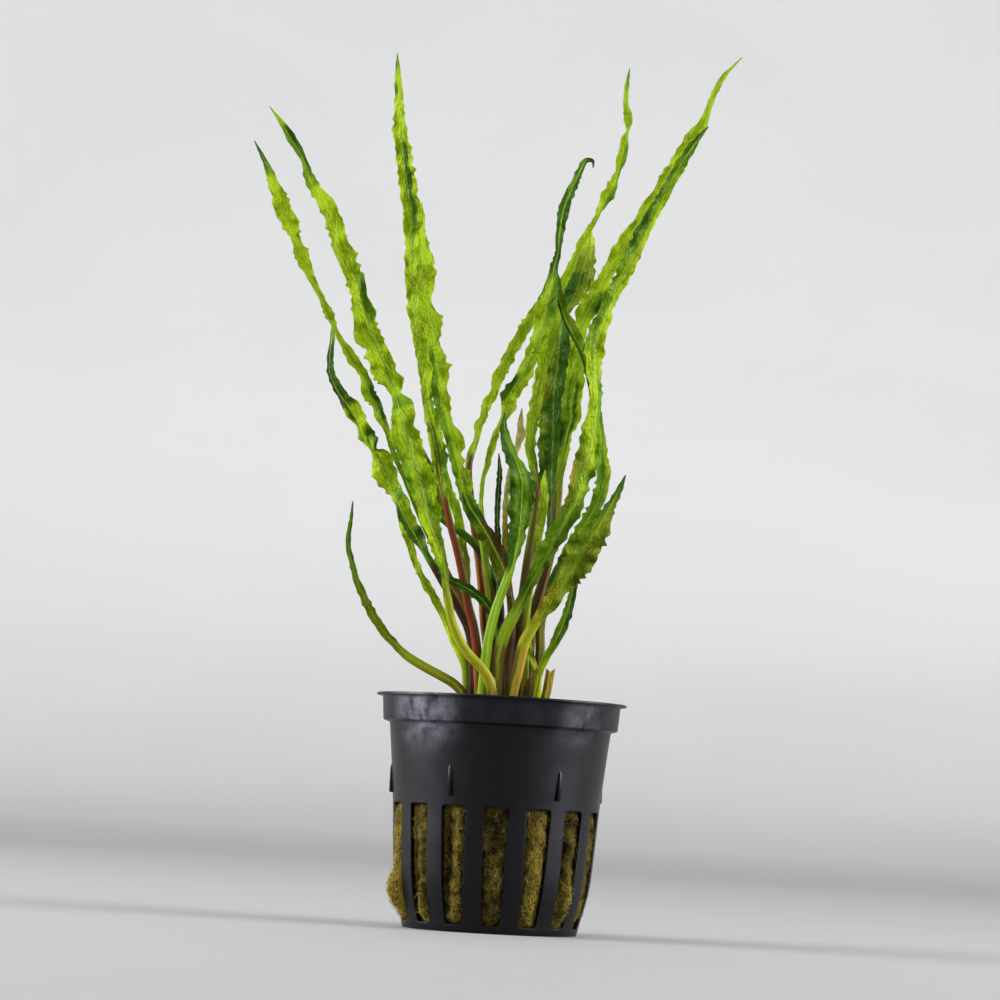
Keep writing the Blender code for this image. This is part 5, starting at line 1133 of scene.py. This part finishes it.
def wool_mesh():
    """The plug as one closed skin: floor, side with its folds, and top."""
    angles = np.linspace(-180.0, 180.0, 481)[:-1]
    heights = np.concatenate([[WOOL_BOTTOM, WOOL_BOTTOM + 0.25], np.linspace(WOOL_BOTTOM + 0.7, 30.0, 84),
                              np.linspace(31.0, WOOL_TOP, 15)])
    radius, loose = wool_radii(angles, heights)
    radius[[0, -1]] -= 0.5
    turn = np.radians(angles)
    width = len(angles)
    rings = [(radius[0] * share, WOOL_BOTTOM, np.zeros(width)) for share in (0.15, 0.4, 0.65, 0.85)]
    rings += zip(radius, heights, loose)
    rings += [(radius[-1] * share, WOOL_TOP, np.full(width, 2.0))
              for share in (0.93, 0.84, 0.74, 0.63, 0.52, 0.41, 0.3, 0.2, 0.1)]
    points = np.concatenate([np.column_stack((reach * np.sin(turn), -reach * np.cos(turn),
                                              np.full(width, level))) for reach, level, _ in rings])
    shown = np.concatenate([ring[2] for ring in rings])
    outward = points * (1.0, 1.0, 0.0)
    outward /= np.maximum(np.linalg.norm(outward, axis=1), 1e-6)[:, None]
    on_top = (shown == 2.0)
    coarse, fine = wool_roughness(points, 3.2, 1), wool_roughness(points, 0.9, 2)
    in_slot = np.where(on_top, 0.0, np.clip(shown, 0, 1))
    points += outward * (in_slot * (coarse * 0.55 + fine * 0.22))[:, None]
    points[:, 2] += on_top * (coarse * 1.1 + fine * 0.35 - 0.3)
    faces = ring_faces(len(rings), width)
    low, high = len(points), len(points) + 1
    last = len(points) - width
    for column in range(width):
        after = (column + 1) % width
        faces += [(after, column, low), (last + column, last + after, high)]
    points = np.vstack((points, (0.0, 0.0, WOOL_BOTTOM), (0.0, 0.0, WOOL_TOP)))
    mesh = mesh_from("wool", points, faces)
    around = np.degrees(np.arctan2(points[:, 0], -points[:, 1]))
    # Painted light and shade on the wool, with a wandering share round the back
    behind = np.where(np.abs(around) > 84.0, slow_wave(around + points[:, 2], 5, 21.0) * 0.25, 0.0)
    dry = 0.24 + spots_over(around, points[:, 2], WOOL_LIGHT_AND_SHADE) + behind
    note(mesh, "in_slots", np.append(in_slot, (0, 0)))
    note(mesh, "on_top", np.append(on_top, (0, 1)))
    note(mesh, "dry", np.clip(dry, 0.0, 1.0))
    return mesh


def wool_fibre_tree():
    """Short bent threads scattered over the part of a surface that a mask shows."""
    tree, given = start_geometry("Wool fibres", density=3.0, length=2.6, thickness=0.06, seed=1,
                                 mask="in_slots")
    spots = add(tree, "GeometryNodeDistributePointsOnFaces", {
        "Mesh": given.geometry, "Density": given.density * named(tree, given.mask), "Seed": given.seed})
    slim = given.thickness * 0.5 / given.length
    profile = flow(tree, "GeometryNodeCurvePrimitiveCircle", {"Resolution": 3, "Radius": slim})
    shapes = add(tree, "GeometryNodeJoinGeometry")[0]
    for start, leave, arrive, end in THREAD_BENDS:
        bend = flow(tree, "GeometryNodeCurvePrimitiveBezierSegment",
                    {"Resolution": 4, "Start": start, "Start Handle": leave, "End Handle": arrive,
                     "End": end}, mode="POSITION")
        tube = flow(tree, "GeometryNodeCurveToMesh", {"Curve": bend, "Profile Curve": profile})
        kind = flow(tree, "GeometryNodeGeometryToInstance", {0: tube})
        tree.links.new(kind.socket, shapes.node.inputs[0])
    pick = flow(tree, "FunctionNodeRandomValue", {4: 0, 5: len(THREAD_BENDS) - 1, "Seed": 5}, 2,
                data_type="INT")
    swing = flow(tree, "FunctionNodeRandomValue",
                 {0: (-0.35, -0.35, 0.0), 1: (0.35, 0.35, math.tau), "Seed": 7}, data_type="FLOAT_VECTOR")
    turned = flow(tree, "FunctionNodeRotateRotation", {0: Flow(spots["Rotation"]), 1: swing},
                  rotation_space="LOCAL")
    size = flow(tree, "FunctionNodeRandomValue", {2: 0.6, 3: 1.3, "Seed": 9}, 1, data_type="FLOAT")
    threads = flow(tree, "GeometryNodeInstanceOnPoints", {
        "Points": Flow(spots["Points"]), "Instance": Flow(shapes), "Pick Instance": True,
        "Instance Index": pick, "Rotation": turned, "Scale": size * given.length})
    return finish_geometry(tree, given, threads)


def make_wool(settings):
    plug = new_item("mineral_wool_plug", wool_mesh(), wool_material("Mineral wool", settings, loose=False))
    point_outwards(plug.data)
    plug.data.shade_smooth()
    tree = wool_fibre_tree()
    thread_material = wool_material("Mineral wool threads", settings, loose=True)
    for name, mask, share, seed in (("wool_threads_in_slots", "in_slots", 1.0, 3),
                                    ("wool_threads_on_top", "on_top", 0.6, 4)):
        item = new_item(name, plug.data.copy())
        item.data.materials.clear()
        grow(item, tree, density=settings.fibre_density * share, length=settings.fibre_length,
             thickness=settings.fibre_thickness, seed=seed, mask=mask, material=thread_material)
        settle(item)
        item.data.shade_smooth()
        place_piece(item, "rockwool_plug")
    place_piece(plug, "rockwool_plug")


# ---------------------------------------------------------------- crown and small pieces


def make_crown(settings):
    """A knobbly rhizome."""
    columns, rows = 96, 30
    middle, half_height = (CROWN_BOTTOM + CROWN_TOP) / 2, (CROWN_TOP - CROWN_BOTTOM) / 2
    points = []
    for row in range(rows + 1):
        lift = math.pi * row / rows - math.pi / 2
        level = (middle + half_height * math.sin(lift) ** 3 * (1.0 if lift < 0 else 0.98)
                 + 0.6 * math.sin(lift) * math.cos(lift))
        reach = max(math.cos(lift), 0.0) ** 0.55
        for turn in round_turns(columns):
            knob = 1.0 + 0.05 * math.sin(5 * turn + level)
            spot = Vector((CROWN_CENTRE[0] + CROWN_RADII[0] * reach * knob * math.cos(turn),
                           CROWN_CENTRE[1] + CROWN_RADII[1] * reach * knob * math.sin(turn), level))
            bump = noise.fractal(spot / 2.2, 0.7, 2.0, 4) * 0.45
            spot.z += bump * min(reach * 2.0, 1.0) - 0.3
            spot.x += bump * math.cos(turn) * reach
            spot.y += bump * math.sin(turn) * reach
            points.append(spot)
    mesh = mesh_from("crown", points, ring_faces(rows + 1, columns))
    point_outwards(mesh, 0.02)
    mesh.shade_smooth()
    place_piece(new_item("rooted_crown", mesh, crown_material(settings)), "crown")


def place_at_depth(x, y, z):
    """Points seen at x, z in the plane of the pot's axis, moved to the depth y."""
    spread = 1.0 + y / EYE_DISTANCE
    return np.stack((x * spread, y, EYE_HEIGHT + (z - EYE_HEIGHT) * spread), axis=-1)


def make_stub(row, material):
    """A short withered, cut or budding piece on the crown, fluted and slightly bent."""
    name, slot, tones, depth, foot, top, half_widths, half_thickness = row
    rng = np.random.default_rng(sum(map(ord, name)))
    rings, columns = 40, 28
    points, colours, places = [], [], []
    ends = [place_at_depth(np.array(x), np.array(depth), np.array(z)) for x, z in (foot, top)]
    flutes = rng.integers(5, 8)
    bend = rng.uniform(-0.35, 0.35, 2)
    levels = [(share, 1.0) for share in np.linspace(0.0, 1.0, rings)]
    cut = name == "cut_petiole"
    if cut:
        levels += [(1.0, 0.86), (0.93, 0.72), (0.90, 0.0)]
    for share, bore in levels:
        centre = ends[0] + (ends[1] - ends[0]) * share
        centre[:2] += bend * math.sin(math.pi * share)
        taper = 1.0 if cut else max(max(1.0 - max(share - 0.62, 0.0) / 0.38, 0.0) ** 0.7, 0.05)
        wide = (half_widths[0] + (half_widths[1] - half_widths[0]) * share) * taper
        deep = half_thickness * (1.0 - 0.25 * share) * taper
        for turn in round_turns(columns):
            ripple = (1.0 + 0.10 * math.sin(flutes * turn + 2.0 * share)
                      + 0.05 * math.sin(11 * turn + 5 * share))
            lip = 0.35 * math.sin(2 * turn + 1.0) * (share > 0.97) * (bore > 0)
            points.append((centre[0] + wide * ripple * bore * math.cos(turn),
                           centre[1] + deep * ripple * bore * math.sin(turn), centre[2] + lip))
            tone = np.array(TONES[tones[int((math.cos(turn) + 1) * 1.45)]])
            # Darker towards the foot; the sunken cut end is painted darker as shade in its hollow
            colours.append(tone * (0.75 + 0.5 * share) * (0.45 if bore < 0.8 else 1.0))
            places.append((math.cos(turn), wide * math.cos(turn), share * 9.0))
    faces = ring_faces(len(levels), columns)
    faces += [range(columns), range(len(points) - columns, len(points))]
    mesh = mesh_from(name, points, faces)
    paint(mesh, "tone", np.clip(colours, 0.0, 1.0))
    note(mesh, "place", places, "FLOAT_VECTOR")
    note(mesh, "stalk", np.full(len(points), 0.4))
    point_outwards(mesh, 0.0005)
    smooth_edges(mesh, 60)
    place_piece(new_item(name + "_skin", mesh, material), name)


# ---------------------------------------------------------------- leaves


def ring_template():
    """Places across one ring of a leaf, front from left to right and back again, with their side."""
    front = [-share for share in reversed(HALF_BLADE[1:])] + list(HALF_BLADE)
    back = front[-2:0:-1]
    side = np.array([1.0] * len(front) + [-1.0] * len(back))
    side[[0, len(front) - 1]] = 0.0
    return np.array(front + back), side


def leaf_track(depth, lean, side, stalk, route):
    """Follow a leaf from foot to tip in even steps.

    Returned for each step are its length along, centre, half widths, turn, height and share of stalk.
    """
    points = [(*point, stalk, stalk)[:4] for point in reversed(route)]
    on_blade = [len(point) == 4 for point in reversed(route)]
    x, z, left, right = np.array(points, float).T
    share = np.arange(len(points)) / (len(points) - 1)
    y = depth * (1.0 + (z - FOOT_HEIGHT) / FAN_HEIGHT) + lean * share ** 2
    centres = place_at_depth(x, y, z)
    spans = left + right
    turn = np.zeros(len(points))
    for index in np.flatnonzero(on_blade):
        widest = spans[max(index - 2, 0):index + 3].max()
        turn[index] = min(math.acos(min(spans[index] / widest, 1.0)), EDGE_ON_LIMIT) * side
    centres = np.vstack((centres[0] - (0, 0, FOOT_BURIED), centres))
    rows = np.column_stack([centres] + [np.append(values[0], values) for values in (left, right, turn, z)])
    gaps = np.linalg.norm(np.diff(centres, axis=0), axis=1)
    knots = np.concatenate(([0.0], np.cumsum(gaps)))
    at = np.linspace(0.0, knots[-1], int(knots[-1] / LEAF_STEP) + 1)
    edges = np.column_stack([np.interp(at, knots, rows[:, column]) for column in (3, 4)])
    rows = smooth_between(rows, knots, at)
    halves = np.maximum(0.35 * rows[:, 3:5] + 0.65 * edges, 0.03)
    start = knots[on_blade.index(True) + 1]
    return at, rows[:, :3], halves, rows[:, 5], rows[:, 6], 1.0 - ease(at, start - 5.0, start + 3.5)


def leaf_frames(centres, turn):
    """Directions across and out of the turned blade, and out of it as if it weren't turned."""
    along = np.gradient(centres, axis=0)
    along /= np.linalg.norm(along, axis=1)[:, None]
    across = np.cross(along, (0.0, -1.0, 0.0))
    across /= np.linalg.norm(across, axis=1)[:, None]
    towards = np.cross(across, along)
    across = across * np.cos(turn)[:, None] + np.cross(along, across) * np.sin(turn)[:, None]
    return across, np.cross(across, along), towards


def leaf_tones(tones, heights, across, along, seed):
    """Colour of each point of a leaf, from its stops by height and the letters across it.

    Three letters are the left half, the midrib and the right half; five add the two margins.
    """
    stops = [stop.split() for stop in reversed(tones.split(", "))]
    levels = np.array([float(level) for level, _ in stops])
    words = [word if len(word) == 5 else word[0] + word + word[-1] for _, word in stops]
    bands = np.array([[TONES[letter] for letter in word] for word in words])
    at = np.clip(heights + slow_wave(along, seed, 17.0) * 2.2, levels[0], levels[-1])
    cell = np.clip(np.searchsorted(levels, at, side="right") - 1, 0, len(levels) - 2)
    share = (at - levels[cell]) / np.maximum(levels[cell + 1] - levels[cell], 0.01)
    share = ease(share, 0.12, 0.88)[:, None, None]
    mixed = bands[cell] * (1 - share) + bands[cell + 1] * share
    place = across[None, :] + slow_wave(along, seed + 1, 9.0)[:, None] * 0.05
    margin = slow_wave(along, seed + 2, 6.0)[:, None] * 0.10
    left, right = ease(-place, 0.08, 0.26), ease(place, 0.08, 0.26)
    outer_left, outer_right = ease(-place + margin, 0.42, 0.62), ease(place + margin, 0.42, 0.62)
    shares = (outer_left, left - outer_left, 1.0 - left - right, right - outer_right, outer_right)
    return sum(mixed[:, None, band] * share[..., None] for band, share in enumerate(shares))


def leaf_mesh(row, number):
    """One leaf as a closed thin skin, with the values that its crisping and its colours need."""
    name, _, depth, lean, side, stalk, fold, tones, route = row
    at, centres, halves, turn, heights, stalk_share = leaf_track(depth, lean, side, stalk, route)
    across, facing, towards = leaf_frames(centres, turn)
    places, skin = ring_template()
    shape = (len(at), len(places))
    count = len(at) * len(places)
    reach = np.abs(places)[None, :]
    half = np.where(places[None, :] < 0, halves[:, :1], halves[:, 1:]) / np.cos(turn)[:, None]
    blade = 1.0 - stalk_share[:, None]
    narrow = np.clip(at[-1] - at, 0.0, TIP_TAPER)[:, None] / TIP_TAPER
    tip_share = (at / at[-1])[:, None]
    rib = RIB_AT_TIP + RIB_ADDED_AT_FOOT * (1.0 - tip_share) ** 0.8
    swell = (np.where(skin > 0, RIB_SHARE_IN_FRONT, 1.0)[None, :] * rib
             * np.exp(-((places[None, :] * half) / RIB_REACH) ** 2))
    skin_half = (SKIN_AT_MARGIN + SKIN_ADDED_INSIDE * (1.0 - reach) + swell) * (0.35 + 0.65 * narrow)
    lift_blade = fold * (1.0 - 0.5 * tip_share) * reach ** 1.2 * half + skin[None, :] * skin_half
    sheath = 1.0 + SHEATH_SWELL * np.clip(1.0 - (heights - FOOT_HEIGHT) / SHEATH_HEIGHT, 0.0, 1.0)
    radius = (stalk * sheath)[:, None]
    out_stalk = radius * np.sin(places * math.pi / 2)[None, :]
    flatness = np.where(skin > 0, STALK_FRONT, np.where(skin < 0, -STALK_BACK, 0.0))
    lift_stalk = radius * np.cos(places * math.pi / 2)[None, :] * flatness[None, :]
    out = places[None, :] * half * blade + out_stalk * (1.0 - blade)
    lift = lift_blade * blade + lift_stalk * (1.0 - blade)
    points = centres[:, None] + across[:, None] * out[..., None] + facing[:, None] * lift[..., None]
    faces = ring_faces(*shape)
    faces += [range(len(places))[::-1], range(count - len(places), count)]
    mesh = mesh_from(name, points.reshape(-1, 3), faces)
    wide_places, wide_at = np.broadcast_to(places, shape), np.broadcast_to(at[:, None], shape)
    note(mesh, "across", wide_places)
    note(mesh, "along", wide_at)
    note(mesh, "half_width", half * blade * np.clip(narrow * 2, 0, 1))
    note(mesh, "facing", np.broadcast_to(towards[:, None], (*shape, 3)), "FLOAT_VECTOR")
    note(mesh, "sideways", np.broadcast_to(across[:, None], (*shape, 3)), "FLOAT_VECTOR")
    note(mesh, "stalk", np.broadcast_to(stalk_share[:, None], shape))
    note(mesh, "place", np.stack((wide_places, out, wide_at), axis=-1), "FLOAT_VECTOR")
    paint(mesh, "tone", leaf_tones(tones, heights, places, at, number * 7 + 3).reshape(-1, 3))
    return mesh


def crisped_blade_tree():
    """Wave a blade's margins, cut teeth into them and blister the skin up to the midrib."""
    tree, given = start_geometry("Crisped blade", wave_length=9.0, wave_height=0.3, blister_length=3.0,
                                 blister_height=0.12, tooth_length=5.0, tooth_depth=0.2, jag=0.06, seed=0.0)
    across, along, half = (named(tree, name) for name in ("across", "along", "half_width"))
    facing, sideways = (named(tree, name, "FLOAT_VECTOR") for name in ("facing", "sideways"))
    reach = abs(across)
    sign = maths(tree, "SIGN", across)
    side = sign * 5.0

    def ripple(length, detail, shift):
        place = combine(tree, side + shift, along / length, given.seed)
        return clouds(place, 1.0, detail) - 0.5

    drift = ripple(given.wave_length * 1.7, 1.0, 2.0) * 11.0
    phase = along / given.wave_length * math.tau + side.scaled(0.35, drift)
    swing = maths(tree, "SINE", phase) * (ripple(given.wave_length, 1.0, 9.0) + 0.85)
    wave = swing * given.wave_height * reach ** 2.0
    blister_place = combine(tree, across * 1.3, along / given.blister_length, given.seed + 31.0)
    blister = clouds(blister_place, 1.0, 2.0, 0.55) - 0.5
    dome = reach * (1.35 - reach) * 4.0
    rise = (wave + blister * given.blister_height * dome) * half
    step = along / given.tooth_length + ripple(9.0, 1.0, 14.0) * 5.0
    away = abs(maths(tree, "FRACT", step).scaled(2.0, -1.0))
    tooth = (away ** 1.6 - 0.45) * given.tooth_depth * (ripple(6.0, 1.0, 26.0) * 2.4 + 0.6)
    notch = ripple(1.3, 3.0, 20.0) * given.jag
    jag = (tooth + notch) * reach ** 4.0 * (half * sign)
    up, out = (flow(tree, "ShaderNodeVectorMath", {0: direction, 3: length}, operation="SCALE")
               for direction, length in ((facing, rise), (sideways, jag)))
    moved = flow(tree, "GeometryNodeSetPosition",
                 {"Geometry": given.geometry, "Offset": vectors(tree, "ADD", up, out)})
    return finish_geometry(tree, given, moved)


def make_leaves(settings):
    light = settings.translucency
    skins = {
        "leaf_bright": leaf_material("Bright blade", 0.42, 0.75, 0.55, light),
        "leaf_deep": leaf_material("Deep green blade", 0.36, 0.60, 0.55, light * 0.75),
        "leaf_olive": leaf_material("Olive blade", 0.42, 0.30, 0.60, light * 0.8),
        "leaf_old": leaf_material("Old straw blade", 0.55, 0.25, 0.45, light * 0.6),
        "dead_brown": leaf_material("Withered sheath", 0.7, 0.0, 0.5, 0.0),
    }
    tree = crisped_blade_tree()
    same = {key: getattr(settings, key)
            for key in ("wave_height", "blister_length", "blister_height", "tooth_depth", "jag")}
    for number, row in enumerate(LEAVES):
        name, slot = row[:2]
        item = new_item(name + "_blade", leaf_mesh(row, number))
        length = settings.wave_length * (0.85 + 0.3 * ((number * 5) % 7) / 6)
        grow(item, tree, wave_length=length, tooth_length=length * 0.5, seed=number * 1.37,
             material=skins[slot], **same)
        settle(item)
        item.data.shade_smooth()
        place_piece(item, name)
    for row in STUBS:
        make_stub(row, skins[row[1]])


# ---------------------------------------------------------------- stage


def bowl_mesh(flat, wall, height):
    """A studio floor that curves up into a wall all round."""
    columns, bend = 128, wall - flat
    outline = [(wall, height)]
    outline += [(flat + bend * math.sin(turn), bend * (1 - math.cos(turn)))
                for turn in np.linspace(math.pi / 2, 0, 17)[:-1]]
    outline += [(flat, 0.0), (flat * 0.6, 0.0), (flat * 0.25, 0.0)]
    points = [(radius * math.cos(turn), radius * math.sin(turn), level)
              for radius, level in outline for turn in round_turns(columns)]
    faces = ring_faces(len(outline), columns)
    inner = len(points) - columns
    faces += [(len(points), inner + column, inner + (column + 1) % columns) for column in range(columns)]
    points.append((0.0, 0.0, 0.0))
    return mesh_from("studio_floor", points, faces)


def add_softbox(name, place, aim, size, power):
    light = bpy.data.lights.new(name, "AREA")
    light.shape = "RECTANGLE"
    light.size, light.size_y = size
    light.energy = power
    item = bpy.data.objects.new(name, light)
    item.location = place
    item.rotation_euler = (Vector(aim) - Vector(place)).to_track_quat("-Z", "Y").to_euler()
    item.visible_camera = False
    bpy.context.collection.objects.link(item)


def make_stage(settings):
    floor = new_item("studio_floor", bowl_mesh(*STUDIO_BOWL), stage_material(settings))
    floor.data.transform(Matrix.Scale(MM, 4))
    floor.data.shade_smooth()
    for name, place, aim, size, power in SOFTBOXES:
        add_softbox(name, place, aim, size, power * settings.light_power)
    world = bpy.data.worlds.new("Studio")
    world.use_nodes = True
    feed(world.node_tree.nodes["Background"], {"Color": (0.95, 0.97, 1.0, 1.0), "Strength": settings.fill})
    scene = bpy.context.scene
    scene.world = world
    scene.view_settings.view_transform = "Standard"
    camera = bpy.data.cameras.new("front_camera")
    camera.sensor_width = SENSOR_WIDTH
    eye = Vector((0.0, -EYE_DISTANCE, EYE_HEIGHT)) * MM
    aim = Vector((settings.aim_x, 0.0, settings.aim_z)) * MM
    camera.lens = SENSOR_WIDTH * (aim - eye).length / (settings.view_width * MM)
    camera.clip_start = 0.01
    item = bpy.data.objects.new("front_camera", camera)
    look = (aim - eye).to_track_quat("-Z", "Y").to_matrix().to_4x4()
    item.matrix_world = Matrix.Translation(eye) @ look @ Matrix.Rotation(math.radians(settings.roll), 4, "Z")
    bpy.context.collection.objects.link(item)
    scene.camera = item


# ---------------------------------------------------------------- settings, operators and panel


def number_setting(label, text, default, **details):
    return FloatProperty(name=label, description=text, default=default, precision=3,
                         **{"min": 0.0, **details})


def length_setting(label, text, default, **details):
    return number_setting(label, text + ", in millimetres", default, **details)


def share_setting(label, text, default):
    return number_setting(label, text, default, max=1.0, subtype="FACTOR")


def colour_setting(label, text, default):
    return FloatVectorProperty(name=label, description=text, default=default, subtype="COLOR", size=3,
                               min=0.0, max=1.0)


class PotSettings(bpy.types.PropertyGroup):
    edge_rounding: length_setting("Edge rounding", "Rounding of the moulded edges", 0.12)
    plastic_colour: colour_setting("Plastic", "Colour of the pot", (0.0015, 0.0015, 0.002))
    roughness: share_setting("Roughness", "Roughness of the satin skin", 0.33)


class WoolSettings(bpy.types.PropertyGroup):
    fibre_density: number_setting("Thread density", "Threads on each square millimetre", 3.2)
    fibre_length: length_setting("Thread length", "Length of a loose thread", 2.6)
    fibre_thickness: length_setting("Thread thickness", "Thickness of a loose thread", 0.055)
    # Thread colour where the wool is painted in light, and hollow colour painted as shade
    light_colour: colour_setting("Threads", "Colour of the dry threads", (0.36, 0.27, 0.030))
    shade_colour: colour_setting("Hollows", "Colour of the shaded hollows", (0.014, 0.009, 0.003))


class CrownSettings(bpy.types.PropertyGroup):
    crown_light: colour_setting("Crown light", "Lighter brown of the crown", (0.16, 0.085, 0.030))
    crown_dark: colour_setting("Crown dark", "Darker brown of the crown", (0.030, 0.016, 0.008))


class LeafSettings(bpy.types.PropertyGroup):
    wave_length: length_setting("Wave length", "Length of one wave of the margins", 7.0)
    wave_height: number_setting("Wave height", "Height of the waves as a share of the half width", 0.46)
    blister_length: length_setting("Blister length", "Length of the blisters", 3.0)
    blister_height: number_setting("Blister height", "Height of the blisters as a share of the half width",
                                   0.45)
    tooth_depth: number_setting("Tooth depth", "Depth of the pointed teeth as a share of the half width",
                                0.46)
    jag: number_setting("Jag", "Depth of the small notches as a share of the half width", 0.36)
    translucency: share_setting("Translucency", "Share of light that passes through a blade", 0.5)


class StageSettings(bpy.types.PropertyGroup):
    floor_colour: colour_setting("Floor", "Colour of the studio paper under the pot", (0.26, 0.26, 0.26))
    wall_colour: colour_setting("Wall", "Colour of the studio paper far from the pot", (0.85, 0.85, 0.85))
    light_power: number_setting("Light power", "Brightness of all softboxes", 1.0)
    fill: number_setting("Fill", "Brightness of the surroundings", 0.22)
    aim_x: length_setting("Aim across", "Where the camera aims, across", -2.95, min=-100.0)
    aim_z: length_setting("Aim height", "Where the camera aims, upwards", 97.4)
    view_width: length_setting("View width", "Width of the view at the pot", 227.0)
    roll: number_setting("Roll", "Roll of the camera, in degrees", 3.2, min=-180.0)


GROUPS = {"pot": PotSettings, "wool": WoolSettings, "crown": CrownSettings, "leaves": LeafSettings,
          "stage": StageSettings}


def settings_of(context, part):
    return getattr(context.scene, "water_plant_" + part)


class PLANT_OT_shaders(bpy.types.Operator):
    """Build the shader groups that the plant's materials share"""
    bl_idname = "plant.make_shaders"
    bl_label = "Shared shaders"

    def execute(self, context):
        build_mottle_group()
        build_vein_group()
        build_fibre_group()
        return {"FINISHED"}


class PLANT_OT_pot(bpy.types.Operator):
    """Make the slotted net pot with its rim band and stacking lugs"""
    bl_idname = "plant.make_pot"
    bl_label = "Net pot"

    def execute(self, context):
        make_pot(settings_of(context, "pot"))
        return {"FINISHED"}


class PLANT_OT_wool(bpy.types.Operator):
    """Make the mineral wool and its loose threads"""
    bl_idname = "plant.make_wool"
    bl_label = "Mineral wool"

    def execute(self, context):
        make_wool(settings_of(context, "wool"))
        return {"FINISHED"}


class PLANT_OT_crown(bpy.types.Operator):
    """Make the crown that the leaves grow from"""
    bl_idname = "plant.make_crown"
    bl_label = "Crown"

    def execute(self, context):
        make_crown(settings_of(context, "crown"))
        return {"FINISHED"}


class PLANT_OT_leaves(bpy.types.Operator):
    """Make the crisped leaves and the small pieces between their feet"""
    bl_idname = "plant.make_leaves"
    bl_label = "Leaves"

    def execute(self, context):
        make_leaves(settings_of(context, "leaves"))
        return {"FINISHED"}


class PLANT_OT_stage(bpy.types.Operator):
    """Set the studio floor, the softboxes and the camera"""
    bl_idname = "plant.make_stage"
    bl_label = "Studio"

    def execute(self, context):
        make_stage(settings_of(context, "stage"))
        return {"FINISHED"}


OPERATORS = (PLANT_OT_shaders, PLANT_OT_pot, PLANT_OT_wool, PLANT_OT_crown, PLANT_OT_leaves, PLANT_OT_stage)


class PLANT_PT_parts(bpy.types.Panel):
    """Lists the plant's pieces and their sizes"""
    bl_idname = "PLANT_PT_parts"
    bl_label = "Potted water plant"
    bl_space_type = "VIEW_3D"
    bl_region_type = "UI"
    bl_category = "Plant"

    def draw(self, context):
        for part, group in GROUPS.items():
            box = self.layout.box()
            box.label(text=part.capitalize())
            for name in group.__annotations__:
                box.prop(settings_of(context, part), name)
        for operator in OPERATORS:
            self.layout.operator(operator.bl_idname)


def register():
    for group in GROUPS.values():
        bpy.utils.register_class(group)
    for part, group in GROUPS.items():
        setattr(bpy.types.Scene, "water_plant_" + part, PointerProperty(type=group))
    for item in (*OPERATORS, PLANT_PT_parts):
        bpy.utils.register_class(item)


def unregister():
    for item in (PLANT_PT_parts, *reversed(OPERATORS)):
        bpy.utils.unregister_class(item)
    for part, group in GROUPS.items():
        delattr(bpy.types.Scene, "water_plant_" + part)
        bpy.utils.unregister_class(group)


def main():
    register()
    bpy.ops.plant.make_shaders()
    bpy.ops.plant.make_pot()
    bpy.ops.plant.make_wool()
    bpy.ops.plant.make_crown()
    bpy.ops.plant.make_leaves()
    bpy.ops.plant.make_stage()


if __name__ == "__main__":
    main()
